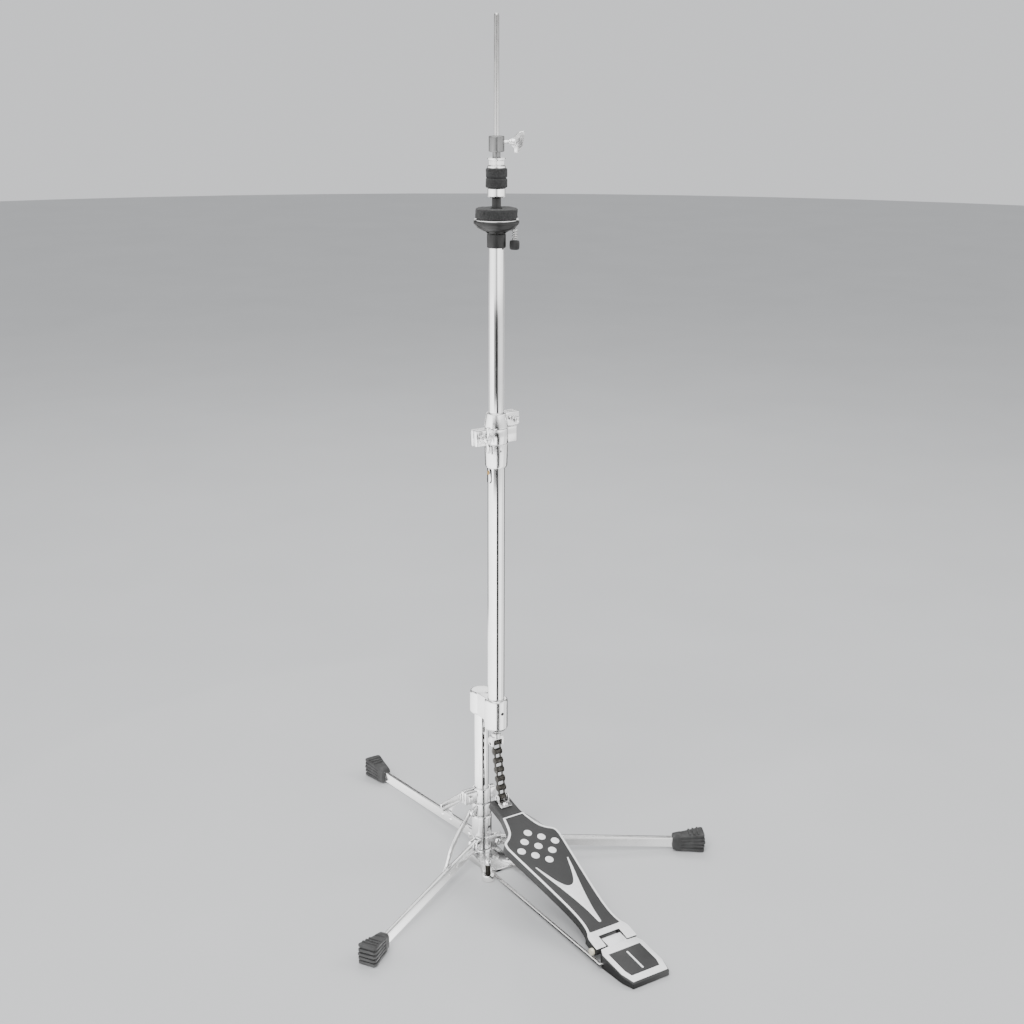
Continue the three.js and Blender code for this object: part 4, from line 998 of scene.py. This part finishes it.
def add_chain(pin_z):
    """Rollers and pins on one straight line, with inner and outer link plates between them in turn."""
    lean = math.degrees(math.asin(CHAIN_LEAN / (CHAIN_PITCH * CHAIN_LINKS)))
    shells = []
    for k in range(CHAIN_LINKS + 1):
        z = -k * CHAIN_PITCH
        shells.append(bar_x(3.95, 0, z, -3.6, 3.6, 0.5, 40))
        shells.append(bar_x(1.8, 0, z, -6.2, 6.2, 0.3, 24))
        if k == CHAIN_LINKS:
            break
        offset, size = (3.4, 4.3) if k % 2 else (4.75, 4.5)
        plate = link_plate(CHAIN_PITCH, size, 1.7)
        for side in (-1, 1):
            x0 = side * (offset + 0.6) - 0.6
            shells.append(moved(mended(sideways(plate, x0, x0 + 1.2, 0.3)), (0, 0, z)))
    place = COLUMN + [0, 0, pin_z]
    piece(
        "drive_chain_skin", [mended(moved(s, place, turn("X", lean))) for s in shells],
        "chain", "dark_steel", "drive_chain",
    )


# ---- footboard

BOARD_EDGE = [
    (-4.2, 31.4), (6, 31.4), (15.8, 30.6), (24, 26.6), (34, 24.4), (49, 24), (70, 25.6), (110, 31),
    (154, 37.6), (180, 41.4), (190, 42.3), (199, 40.2), (206, 31), (214, 24.4), (226, 20.2), (241, 16.4),
]
TOE_EDGE = [(241, 16.4), (250, 15.2), (276, 15)]
BOARD_RISE = 6.65
TOE_BOLT = (0, 261.5, 0)


def board_side(table, steps=8):
    curve = smooth_path(np.array(table), steps)
    return np.c_[curve[:, 1], curve[:, 0]]


def both_sides(right, closing=()):
    """An outline that runs up the right side and down the left, with extra points at the heel end."""
    left = (right * [-1, 1])[::-1]
    parts = [right, left] + ([np.array(closing, float)] if len(closing) else [])
    return thinned(np.concatenate(parts))


def board_piece(name, shells, finish, *stands_for, slot=None):
    return piece(name, [mended(at_board(s)) for s in shells], "pedal", finish, *stands_for, slot=slot)


def add_footboard():
    notch = [(-16.4, -4.2), (-16.4, 12.6), (-15.3, 13.7), (15.3, 13.7), (16.4, 12.6), (16.4, -4.2)]
    side = board_side(BOARD_EDGE)
    toe = board_side(TOE_EDGE)
    whole = both_sides(rounded(np.r_[side, toe[1:]], 0.5, False), notch)
    casting = prism(whole, BOARD_RISE - 5, BOARD_RISE - 0.5, 0.5)
    wall_side = np.r_[side, toe[1:]]
    wall_side = wall_side[wall_side[:, 1] > 15.8]
    wall_outer = both_sides(wall_side)
    wall_inner = drawn_in(wall_outer, 3.6)
    wall = frame_prism(wall_outer, wall_inner, BOARD_RISE - 12, BOARD_RISE - 4.8)
    rib_outlines = [box_outline(-1.2, 1.2, 30, 236, 0.6)]
    for y, half in ((60, 22), (100, 27), (140, 33), (180, 38)):
        rib_outlines.append(box_outline(-half, half, y - 1.2, y + 1.2, 0.6))
    ribs = [prism(outline, BOARD_RISE - 11, BOARD_RISE - 4.8, 0.3) for outline in rib_outlines]
    cheek = rounded([(-4.2, 0), (-4.2, BOARD_RISE - 0.5), (18, BOARD_RISE - 0.5), (18, -4.6), (0, -6)], 1.0)
    lobes = [bar_x(6, 0, 0, x0, x0 + 14.8, 0.8, 48) for x0 in (-31.4, 16.6)]
    lobes += [sideways(cheek, x0, x0 + 14.4, 0.5) for x0 in (-31.2, 16.8)]
    board = board_piece("footboard_casting", [casting, wall] + ribs + lobes, "board_paint", "footboard")
    cutters = [bar_x(HINGE_HOLE, 0, 0, -60, 60, 0, 32), shaft(2.25, -20, 20, TOE_BOLT, 0, 24)]
    carved(board, [mended(at_board(c)) for c in cutters])
    bright = both_sides(side, notch)
    border = prism(bright, BOARD_RISE - 0.6, BOARD_RISE + 0.1, 0.25)
    board_piece("footboard_border", [border], "bright_inlay", slot="board_paint")
    panel_side = drawn_in(both_sides(side, notch), 3.1)
    panel_side = panel_side[(panel_side[:, 0] > 0) & (panel_side[:, 1] > 22.1)]
    panel_side = np.r_[[[20.9, 22.1]], panel_side]
    panel = both_sides(panel_side)
    board_piece("footboard_panel", [prism(panel, BOARD_RISE, BOARD_RISE + 0.32, 0.12)], "board_paint")
    rows = {203.7: [0], 190.7: [-13.6, 13.6], 177.4: [-27, 0, 27], 164.1: [-13.5, 13.5], 150.9: [0]}
    stud = prism(circle(5.6), BOARD_RISE + 0.2, BOARD_RISE + 0.6, 0.25)
    studs = [moved(stud, (x, y, 0)) for y, xs in rows.items() for x in xs]
    board_piece("footboard_studs", studs, "bright_inlay", slot="board_paint")
    arm_out = smooth_path(
        [(26.2, 144.6), (22.4, 128), (17.4, 110), (12.6, 92), (8.3, 74), (4.4, 54), (2.4, 36)], 8
    )
    arm_in = smooth_path(
        [(24.6, 145.2), (19.2, 130), (13.6, 115.5), (8.2, 105.8), (4.0, 101.9), (0, 100.8)], 8
    )
    right = np.r_[[[0, 32.0], [1.6, 32.9]], arm_out[::-1], arm_in[:-1]]
    left = (right[1:] * [-1, 1])[::-1]
    chevron = thinned(np.r_[right, [[0, 100.8]], left])
    inlay = prism(chevron, BOARD_RISE + 0.2, BOARD_RISE + 0.55, 0.15)
    board_piece("footboard_chevron", [inlay], "bright_inlay", slot="board_paint")
    add_toe()


def add_toe():
    floor_z = BOARD_RISE + GAP
    pin_y, pin_z = toe_pin()
    inner = 6.85
    base = prism(box_outline(-inner - 2, inner + 2, 256.5, pin_y + 4, 1.0), floor_z, floor_z + 2, 0.4)
    ear = rounded(
        [(pin_y - 7, floor_z), (pin_y + 4, floor_z), (pin_y + 4, pin_z + 1), (pin_y + 1.5, pin_z + 4),
         (pin_y - 1.5, pin_z + 4), (pin_y - 4.5, pin_z + 1)],
        1.6,
    )
    ears = [sideways(ear, x0, x0 + 2, 0.4) for x0 in (-inner - 2, inner)]
    bracket = board_piece("toe_bracket_skin", [base] + ears, "plain_steel", "toe_bracket")
    pin_hole = bar_x(PIN_HOLE, pin_y, pin_z, -12, 12, 0, 32)
    bolt_hole = shaft(2.25, floor_z - 2, floor_z + 5, TOE_BOLT, 0, 24)
    carved(bracket, [mended(at_board(c)) for c in (pin_hole, bolt_hole)])
    seat = floor_z + 2.3
    profile = [(0, seat), (3.7, seat), (3.7, seat + 1.2), (2.6, seat + 2.8), (0, seat + 3.2)]
    head = turned(profile, TOE_BOLT, 0.5, 40)
    shank = shaft(1.9, BOARD_RISE - 14, seat + 0.5, TOE_BOLT, 0.3, 32)
    board_piece("toe_bolt_skin", [head, shank], "fitting_chrome", "toe_bolt")


def toe_pin():
    """The lower chain pin, at (y -51, z 112.5) in the row frame, seen in the board's frame."""
    y, z = -51 - HINGE[1], 112.5 - HINGE[2]
    c, s = math.cos(math.radians(BOARD_SLOPE)), math.sin(math.radians(BOARD_SLOPE))
    return y * c + z * s, z * c - y * s


# ---- heel plate, hinge pin and radius rod


def heel_height(y):
    return 74.63 + 0.172 * y


def sloped(outline, lower, upper, edge=0.0):
    """An outline in XY between two heights measured from the sloping top of the heel plate."""
    rows = ((outline, lower), (outline, upper - edge * 0.7), (drawn_in(outline, edge), upper))
    return lofted(np.array([np.c_[flat, heel_height(flat[:, 1]) + z] for flat, z in rows]))


def add_heel():
    y0, y1 = -381.2, -314.0
    body = rounded(
        [(-28.0, y0), (28.0, y0), (32.2, y0 + 17.5), (32.2, -323.4), (27.6, y1), (-27.6, y1),
         (-32.2, -323.4), (-32.2, y0 + 17.5)],
        1.2,
    )
    upper = drawn_in(body, 1.4)
    floor_rows = [np.c_[drawn_in(body, 0.8), np.full(len(body), 0.05)], np.c_[body, np.full(len(body), 1.0)]]
    edge_rows = [np.c_[body, heel_height(body[:, 1]) - 2.0], np.c_[upper, heel_height(upper[:, 1]) - 0.5]]
    wedge = lofted(np.array(floor_rows + edge_rows))
    knuckle = bar_x(6, HINGE[1], HINGE[2], -14.4, 14.4, 0.6, 48)
    neck = sideways(rounded([(-316, 9.5), (-316, 19.6), (-303, 20.6), (-303, 10.5)], 1.0), -14.3, 14.3, 0.5)
    heel = piece("heel_casting", [wedge, knuckle, neck], "frame", "heel_paint", "heel_plate")
    carved(heel, [bar_x(HINGE_HOLE, HINGE[1], HINGE[2], -60, 60, 0, 32)])
    tongue_right = np.array(
        [(14.2, -298.4), (14.2, -313.6), (27.0, -314.4), (31.2, -323.2), (31.2, -362.2), (26.6, -379.3)]
    )
    tongue = rounded(np.r_[tongue_right, tongue_right[::-1] * [-1, 1]], 0.8)
    piece("heel_border", [sloped(tongue, -0.9, 0.05, 0.3)], "frame", "bright_inlay", slot="heel_paint")
    panel = rounded(
        [(-24.4, -326), (24.4, -326), (24.4, -359.5), (21.6, -369.5), (-21.6, -369.5), (-24.4, -359.5)],
        [0.8, 0.8, 3, 1, 1, 3],
    )
    piece("heel_panel", [sloped(panel, -0.1, 0.3, 0.12)], "frame", "heel_paint")
    bar = box_outline(-1.3, 1.3, -364.5, -331.5, 1.2)
    piece("heel_bar", [sloped(bar, 0.1, 0.5, 0.15)], "frame", "bright_inlay", slot="heel_paint")
    pin = bar_x(2.4, HINGE[1], HINGE[2], -33.5, 32.9, 0.4, 32)
    cap = bar_x(4.6, HINGE[1], HINGE[2], -36.9, -32.4, 1.2, 40)
    piece("heel_pin_shaft", [pin], "frame", "plain_steel")
    piece("heel_pin_cap", [cap], "frame", "pin_cream", "heel_pin")


def add_radius_rod():
    right = np.array([
        (8, -38, 4.4), (15, -42, 4.4), (18.5, -56, 4.4), (20.5, -74, 4.8),
        (33.0, -291.4, 7), (35.0, -319.4, 7), (33.8, -323.9, 7), (29.0, -325.4, 7),
    ])
    path = smooth_path(np.r_[(right * [-1, 1, 1])[::-1], right], 14)
    piece("radius_rod_skin", [swept(path, circle(2.2, count=24))], "frame", "rod_steel", "radius_rod")


# ---- base, leg spider and collars


CLAMP_BOLT_X = -22.0


def around(shell, angle):
    return mended(moved(shell, PILLAR, turn("Z", angle)))


def add_base():
    barrel = turned([(0, 0.05), (12.6, 0.05), (14, 1.4), (14, 13.0), (13.2, 14), (0, 14)], PILLAR, 0.6, 96)
    profile = rounded([(0, 0.05), (-52, 0.05), (-52, 4.2), (-10, 12), (0, 12)], [0.2, 1.2, 1.4, 3.0, 0.2])
    shells = [barrel, mended(sideways(profile, -21.6, 21.6, 0.8))]
    eye = [(0, 0.05), (7.8, 0.05), (8.6, 0.9), (8.6, 8.0), (7.6, 9), (0, 9)]
    spurs = {side: np.array([side * 30, -62, 0]) for side in (-1, 1)}
    for side, centre in spurs.items():
        arm = rounded(np.array([(4, -8), (11, -8), (37, -62), (23, -62), (4, -30)]) * [side, 1], 1.5)
        shells += [mended(prism(arm, 0.05, 7, 0.8)), turned(eye, centre, 0.5, 72)]
    base = piece("base_casting_skin", shells, "frame", "cast_chrome", "base_casting")
    cutters = [shaft(PILLAR_BORE, 3, 16, PILLAR, 0, 72)]
    cutters += [shaft(3.95, -2, 12, centre, 0, 40) for centre in spurs.values()]
    carved(base, cutters)
    z = np.linspace(5, 21.5, 45)
    crest = np.where(np.arange(len(z)) % 2, 3.6, 3.05)
    stud = np.r_[[[0, 1.4], [1.0, 1.6]], np.c_[crest, z], [[2.9, 22.4], [0, 22.4]]]
    knob = [(0, 21.8), (2.9, 21.8), (4.5, 24), (4.8, 26.5), (4.2, 29.4), (2.4, 31), (0, 31.2)]
    for name, side in (("left", -1), ("right", 1)):
        body = f"{name}_spur"
        piece(f"spur_{name}_stud", [turned(stud, spurs[side], 0, 48)], body, "dark_steel", f"spur_{name}")
        piece(f"spur_{name}_head", [turned(knob, spurs[side], 0.6, 48)], body, "fitting_chrome")


def pillar_ring(z0, z1, foot, outer, head, low_edge, high_edge, soft, sides=120):
    """A collar round the pillar: foot is its radius at z0, outer its widest and head its radius at z1."""
    profile = [(9.9, z0), (foot, z0), (outer, z0 + low_edge), (outer, z1 - high_edge), (head, z1), (9.9, z1)]
    return turned(profile, PILLAR, soft, sides, True)


def add_spider():
    z0, z1 = span("leg_spider")
    ring = pillar_ring(z0, z1, 13.0, 13.3, 12.6, 0.6, 0.8, 0.4, 96)
    cheek = rounded([(11, z0 + 3), (26, z0 + 3), (29, z0 + 8), (27, z1), (11, z1)], [0.2, 3, 3, 2, 0.2])
    shells = [ring]
    for angle in LEG_ANGLES.values():
        for y0 in (-6.4, 3.4):
            shells.append(around(upright(cheek, y0, y0 + 3, 0.5), angle))
    spider = piece("leg_spider_skin", shells, "frame", "cast_chrome", "leg_spider")
    core = shaft(PILLAR_BORE, z0 - 2, z1 + 2, PILLAR, 0, 72)
    holes = [around(bar_y(2.8, LEG_PIN[0], LEG_PIN[2], -12, 12, 0, 24), a) for a in LEG_ANGLES.values()]
    carved(spider, [core] + holes)
    for name, angle in LEG_ANGLES.items():
        pin = [bar_y(2.5, LEG_PIN[0], LEG_PIN[2], -7.4, 7.4)]
        pin += [moved(dome(4, 1.7, 0), LEG_PIN - [0, 6.7 * k, 0], turn("X", 90 * k)) for k in (1, -1)]
        pin = [around(mended(s), angle) for s in pin]
        piece(f"leg_pin_{name}_skin", pin, "frame", "fitting_chrome", f"leg_pin_{name}", slot="leg_chrome")


def add_pillar_collar():
    """The fixed collar low on the pillar, with a countersunk screw and a small hole."""
    z0, z1 = span("pillar_collar")
    middle = (z0 + z1) / 2
    ring = pillar_ring(z0, z1, 13.0, 13.8, 12.4, 1.6, 1.6, 0.7)
    collar = piece("pillar_collar_skin", [ring], "frame", "cast_chrome", "pillar_collar")
    screw_hole = around(bar_y(2.1, 0, middle, -16, -12.2, 0, 32), 14)
    mark_hole = around(bar_y(1.5, 0, z0 + 7.5, -16, -12.2, 0, 24), 6)
    carved(collar, [screw_hole, mark_hole])
    # The collar screw carries the near-black painted recess shade of its hole.
    screws = [around(bar_y(1.95, 0, middle, -13.2, -12.0, 0.4, 24), 14)]
    piece("pillar_collar_screw", screws, "frame", "recess_painted_shade", slot="dark_steel")


def add_sliding_collar():
    """The collar that the three struts hang on, with a lug for each."""
    z0, z1 = span("strut_collar")
    pin_z = z0 + 9.5
    ring = pillar_ring(z0, z1, 12.6, 13.2, 12.6, 0.8, 0.8, 0.5)
    lug = rounded(
        [(11, z0 + 1), (26, pin_z - 6), (31, pin_z - 2), (31, pin_z + 3), (26, pin_z + 6), (11, z1 - 1)],
        [0.2, 2.5, 2.5, 2.5, 2.5, 0.2],
    )
    lugs = [around(upright(lug, -3.1, 0.9, 0.6), angle) for angle in LEG_ANGLES.values()]
    collar = piece("strut_collar_skin", [ring] + lugs, "collar", "cast_chrome", "strut_collar")
    core = shaft(PILLAR_BORE, z0 - 2, z1 + 2, PILLAR, 0, 72)
    holes = [around(bar_y(2.3, 26, pin_z, -4, 2, 0, 24), a) for a in LEG_ANGLES.values()]
    carved(collar, [core] + holes)


def add_collar_clamp():
    """The split ring under the sliding collar, with its ears, square-headed bolt and lever."""
    c0, c1 = span("collar_clamp")
    middle = (c0 + c1) / 2
    bolt_place = (CLAMP_BOLT_X, 0, middle)
    ring = pillar_ring(c0, c1, 12.2, 12.8, 12.2, 0.8, 0.8, 0.5)
    ear = box_outline(-30, -10.5, c0 + 1, c1 - 1, [3.0, 0.2, 0.2, 3.0])
    boss = box_outline(10.5, 22, c0 + 1, c1 - 3, [0.2, 2.5, 2.5, 0.2])
    shells = [ring, upright(ear, -6, -0.8, 0.8), upright(ear, 0.8, 6, 0.8), upright(boss, -5.5, 5.5, 1.0)]
    clamp = piece("collar_clamp_skin", [mended(s) for s in shells], "collar", "cast_chrome", "collar_clamp")
    split = prism(box_outline(-16, -8, -0.8, 0.8, 0.1), c0 - 2, c1 + 2, 0)
    bore = shaft(PILLAR_BORE, c0 - 2, c1 + 2, PILLAR, 0, 72)
    carved(clamp, [bore, split, mended(bar_y(2.5, CLAMP_BOLT_X, middle, -14, 14, 0, 24))])
    square = box_outline(-3.6, 3.6, -3.6, 3.6, 0.7)
    bolt = [
        mended(bar_y(2.2, CLAMP_BOLT_X, middle, -8, 12.4)),
        mended(moved(upright(square, -9.6, -6.3, 0.5), bolt_place)),
        mended(moved(upright(hexagon(4), 10.4, 13.0, 0.4), bolt_place)),
    ]
    piece("clamp_bolt_skin", bolt, "collar", "fitting_chrome", "clamp_bolt")
    head = circle(7.0, count=48)
    head = head[head[:, 0] > -1.5]
    head = head[np.argsort(np.arctan2(head[:, 1], head[:, 0]))]
    handle = [(-6, 6.2), (-38.5, 6.2), (-40, 4), (-40, -4), (-38.5, -6.2), (-6, -6.2)]
    flat = upright(rounded(np.r_[head, handle], 1.0), 6.5, 9.9, 0.7)
    flat = mended(moved(flat, bolt_place, turn("Y", -14)))
    lever = piece("clamp_lever_skin", [flat], "lever", "cast_chrome", "clamp_lever", slot="fitting_chrome")
    carved(lever, [mended(bar_y(2.5, CLAMP_BOLT_X, middle, 4, 12, 0, 24))])


# ---- legs, struts and feet

LEG_SLOPE = 2.9
LEG_LENGTH = 268
STRUT_HOLE = 78  # along the leg, from its pin
STRUT_SIDE = -4.9
STRUT_END = 5.0
STRUT_PIN = np.array([26.0, 76.5])  # out from the pillar, and up


def add_legs():
    for name, angle in LEG_ANGLES.items():
        bar = box_outline(-7.5, LEG_LENGTH, -7.5, 7.5, [7.4, 1.0, 1.0, 7.4], 14)
        shells = [upright(bar, -3, 3, 1.1)]
        for x in (STRUT_HOLE, STRUT_HOLE - 22):
            shells.append(moved(dome(3.4, 1.6, 0), (x, 2.8, 0), turn("X", -90)))
        leg = [around(moved(mended(s), LEG_PIN, turn("Y", LEG_SLOPE)), angle) for s in shells]
        made = piece(f"leg_{name}_skin", leg, f"{name}_leg", "leg_chrome", f"leg_{name}")
        carved(made, [around(moved(mended(bar_y(2.8, 0, 0, -6, 6, 0, 24)), LEG_PIN), angle)])
        add_foot(name, angle)
        add_strut(name, angle)


def foot_layer(x0, x1, inner_half, outer_half, inner_z, outer_z, ripple):
    """A slab that fans out: half width, lower face and upper face run straight from inner to outer end."""
    t = np.linspace(0, 1, 24)
    x = x0 + (x1 - x0) * t
    ease = np.minimum(1, np.minimum(t * 14, (1 - t) * 14)) ** 0.5
    half = (inner_half + (outer_half - inner_half) * t + ripple * np.sin(t * 9)) * (0.86 + 0.14 * ease)
    z_low = inner_z[0] + (outer_z[0] - inner_z[0]) * t
    z_high = inner_z[1] + (outer_z[1] - inner_z[1]) * t
    a = np.linspace(0, 2 * np.pi, 48, endpoint=False)
    power = 0.42
    cx = np.sign(np.cos(a)) * np.abs(np.cos(a)) ** power
    cz = np.sign(np.sin(a)) * np.abs(np.sin(a)) ** power
    thick = (z_high - z_low) / 2 * (0.8 + 0.2 * ease)
    y = half[:, None] * cx
    z = ((z_low + z_high) / 2)[:, None] + thick[:, None] * cz
    return lofted(np.stack([np.broadcast_to(x[:, None], y.shape), y, z], -1))


def add_foot(name, angle):
    """Four fanned layers on a core, with a socket round the leg and cross ridges on top."""
    inner_x = LEG_PIN[0] + LEG_LENGTH * math.cos(math.radians(LEG_SLOPE)) - 20
    outer_x = inner_x + 46
    layers, count = [], 5
    rise_in, rise_out = (1.5, 22.5), (0.1, 28.4)
    for k in range(count):
        a, b = k / count, (k + 1) / count
        span_in = [rise_in[0] + (rise_in[1] - rise_in[0]) * s for s in (a, b)]
        span_out = [rise_out[0] + (rise_out[1] - rise_out[0]) * s for s in (a, b)]
        span_out = [span_out[0] + 0.55 * (k > 0), span_out[1] - 0.55 * (k < count - 1)]
        end = outer_x - 0.6 - 1.4 * abs(k - 2) * 0.5
        layers.append(foot_layer(inner_x + 3, end, 7.4, 13.4 - 0.25 * (k % 2), span_in, span_out, 0.15))
    core = foot_layer(inner_x + 1, outer_x - 3.4, 6.6, 11.8, (1.0, 23.0), (1.2, 27.4), 0.0)
    collar = foot_layer(inner_x, inner_x + 12, 7.5, 9.0, (2.2, 23.6), (0.6, 25.6), 0.0)
    ridges = []
    for k, x in enumerate((inner_x + 22, inner_x + 28, inner_x + 34)):
        z = 23.6 + (x - inner_x) * 0.108
        ridges.append(
            upright(
                rounded([(x, z - 1), (x + 3.6, z - 0.6), (x + 3.0, z + 1.8), (x + 0.8, z + 1.6)], 0.5),
                -8.4 - k, 8.4 + k, 0.5
            )
        )
    shells = [around(mended(s), angle) for s in layers + [core, collar] + ridges]
    piece(f"foot_{name}_skin", shells, f"{name}_leg", "rubber", f"foot_{name}")


def add_strut(name, angle):
    slope = math.radians(LEG_SLOPE)
    pin = STRUT_PIN
    end = LEG_PIN[[0, 2]] + STRUT_HOLE * np.array([math.cos(slope), -math.sin(slope)])
    run = end - pin
    length = np.linalg.norm(run)
    along = run / length
    out = np.array([-along[1], along[0]])
    if out[0] < 0:
        out = -out
    centre = smooth_path(
        [(0, 0), (0.12, 1.5), (0.3, 6.4), (0.52, 8.2), (0.7, 7.4), (0.82, 3.0), (0.92, 0.3), (1, 0)], 8
    )
    line = pin + centre[:, :1] * length * along + centre[:, 1:] * out
    tangent = np.gradient(line, axis=0)
    tangent /= np.linalg.norm(tangent, axis=1, keepdims=True)
    normal = np.c_[-tangent[:, 1], tangent[:, 0]]
    t = np.linspace(0, 1, len(line))
    half = (STRUT_END - 0.9 * np.sin(np.pi * t))[:, None]
    right, left = line + normal * half, line - normal * half
    turn_in = np.linspace(0, np.pi, 12)[1:-1]

    def cap(centre, first):
        """A half circle round the centre, clockwise from the first direction."""
        angle = math.atan2(first[1], first[0]) - turn_in
        return centre + arc(STRUT_END, angle)

    outline = thinned(np.r_[right, cap(line[-1], normal[-1]), left[::-1], cap(line[0], -normal[0])])
    shells = [moved(upright(outline, -1.5, 1.5, 0.5), (0, STRUT_SIDE, 0))]
    for point, size in ((line[0], 3.2), (line[-1], 3.2)):
        shells.append(moved(dome(size, 1.4, 0), (point[0], STRUT_SIDE - 1.4, point[1]), turn("X", 90)))
    shells.append(bar_y(2.0, pin[0], pin[1], STRUT_SIDE - 1, STRUT_SIDE + 7))
    piece(
        f"strut_{name}_skin", [around(mended(s), angle) for s in shells],
        f"{name}_strut", "leg_chrome", f"strut_{name}",
    )


def add_floor():
    """A wide flat disc under the stand."""
    mesh = bpy.data.meshes.new("floor")
    ring = circle(9000, count=96)
    mesh.from_pydata(np.c_[ring, np.full(len(ring), -0.5)] * MM, [], [list(range(len(ring)))])
    floor = placed("floor", mesh)
    made = Finish("floor_paper", Roughness=0.8, Specular_IOR_Level=0.15)
    made.colours(made.noise(3.0, 2.0), (0.2, (0.5, 0.505, 0.51)), (0.8, (0.53, 0.535, 0.54)))
    made.bump(0.03, 0.0002, made.noise(240.0, 2.0))
    mesh.materials.append(made.material)


def add_tent():
    """A round studio tent that only reflections see: floor pan, wall and lid, bright with dark flags.

    Brightness is a curve over the bearing for each part of the height, blended over 60 mm. The pan darkens
    towards the middle as a painted contact shade under the stand, and the lid is a round softbox with a dark
    rim.
    """
    count = 360
    bearing = np.linspace(-180, 180, count, endpoint=False)
    pan, wall, lid = 40, 70, 24
    radius = np.r_[np.linspace(4, 796, pan), np.full(wall, 800.0), np.linspace(796, 2, lid)][:, None]
    height = np.r_[np.full(pan, -0.3), np.linspace(2, 1500, wall), np.full(lid, 1502.0)][:, None]
    stripe = (
        (-30, 4.2), (2, 4.0), (7, 0.3), (14, 0.03), (27, 0.03), (33, 0.9), (40, 2.6), (75, 2.8), (84, 1.5)
    )
    pan_curve = np.interp(bearing, *zip(
        (-180, 0.2), (-172, 0.3), (-164, 2.6), (-100, 3.4), *stripe, (122, 2.0), (130, 0.2), (180, 0.2),
    ))
    low_curve = np.interp(bearing, *zip(
        (-180, 0.15), (-132, 0.2), (-122, 2.4), (-100, 3.4), *stripe, (120, 2.0), (130, 0.15), (180, 0.15),
    ))
    middle_curve = np.interp(bearing, *zip(
        (-180, 2.4), (-152, 2.2), (-146, 0.2), (-132, 0.15), (-126, 2.0), (-100, 3.2), (-48, 4.2), (-40, 3.4),
        (-33, 0.5), (-8, 0.22), (0, 0.02), (20, 0.02), (26, 0.9), (40, 1.4), (75, 1.7), (124, 1.2),
        (132, 0.15), (146, 0.15), (152, 2.2), (180, 2.4),
    ))
    high_curve = np.interp(bearing, *zip(
        (-180, 1.6), (-146, 0.3), (-132, 0.3), (-120, 2.2), (-60, 3.2), (-16, 2.4), (-6, 0.9), (4, 0.7),
        (10, 1.6), (28, 3.2), (60, 2.8), (120, 2.0), (132, 0.3), (146, 0.3), (180, 1.6),
    ))
    steps = [
        (0, pan_curve), (20, low_curve), (400, middle_curve), (700, high_curve), (1020, high_curve * 0.3)
    ]
    shade = np.broadcast_to(pan_curve, (len(height), count))
    for start, curve in steps:
        mix = np.clip((height - start) / 60, 0, 1)
        shade = shade * (1 - mix) + curve * mix
    # Painted contact shade: the pan is darker towards the middle, so reflections near the foot of the stand
    # show shade under it.
    contact_shade = np.where(height < 1, np.clip(0.1 + radius / 330, 0.1, 1), 1.0)
    softbox = np.where(height > 1501, np.clip((620 - radius) / 60, 0.05, 1) * 3.2, 0)
    shade = np.where(height > 1501, softbox, shade * contact_shade)
    angle = np.radians(bearing + FRONT)
    grid = np.empty((len(height), count, 3))
    grid[..., 0] = COLUMN[0] + radius * np.cos(angle)
    grid[..., 1] = COLUMN[1] + radius * np.sin(angle)
    grid[..., 2] = height
    mesh = bpy.data.meshes.new("tent")
    mesh.from_pydata(grid.reshape(-1, 3) * MM, [], tube_faces(len(height), count, False).tolist())
    mesh.attributes.new("shade", "FLOAT", "POINT").data.foreach_set("value", shade.ravel())
    material = bpy.data.materials.new("tent_cloth")
    material.use_nodes = True
    tree = material.node_tree
    tree.nodes.clear()
    glow = tree.nodes.new("ShaderNodeEmission")
    level = tree.nodes.new("ShaderNodeAttribute")
    level.attribute_name = "shade"
    tree.links.new(level.outputs["Fac"], glow.inputs["Strength"])
    tree.links.new(glow.outputs["Emission"], tree.nodes.new("ShaderNodeOutputMaterial").inputs["Surface"])
    material.cycles.emission_sampling = "NONE"
    mesh.materials.append(material)
    tent = placed("tent", mesh)
    tent.visible_camera = tent.visible_diffuse = tent.visible_shadow = False
    tent.visible_transmission = tent.visible_volume_scatter = False


add_camera()
add_world()
add_floor()
add_tent()
add_area("key", (-1.6, -1.4, 2.7), (0, -0.1, 0.5), (1.8, 1.8), 110)
add_area("fill", (1.9, -1.2, 2.0), (0, -0.1, 0.5), (1.2, 1.6), 25)
add_area("back", (0.8, 1.8, 2.6), (0, 0, 0.6), (1.8, 1.2), 40)
add_tubes()
add_clutch()
add_seat()
add_height_clamp()
add_stop_ring()
add_badge()
add_offset_block()
add_drive()
add_footboard()
add_heel()
add_radius_rod()
add_base()
add_spider()
add_pillar_collar()
add_sliding_collar()
add_collar_clamp()
add_legs()
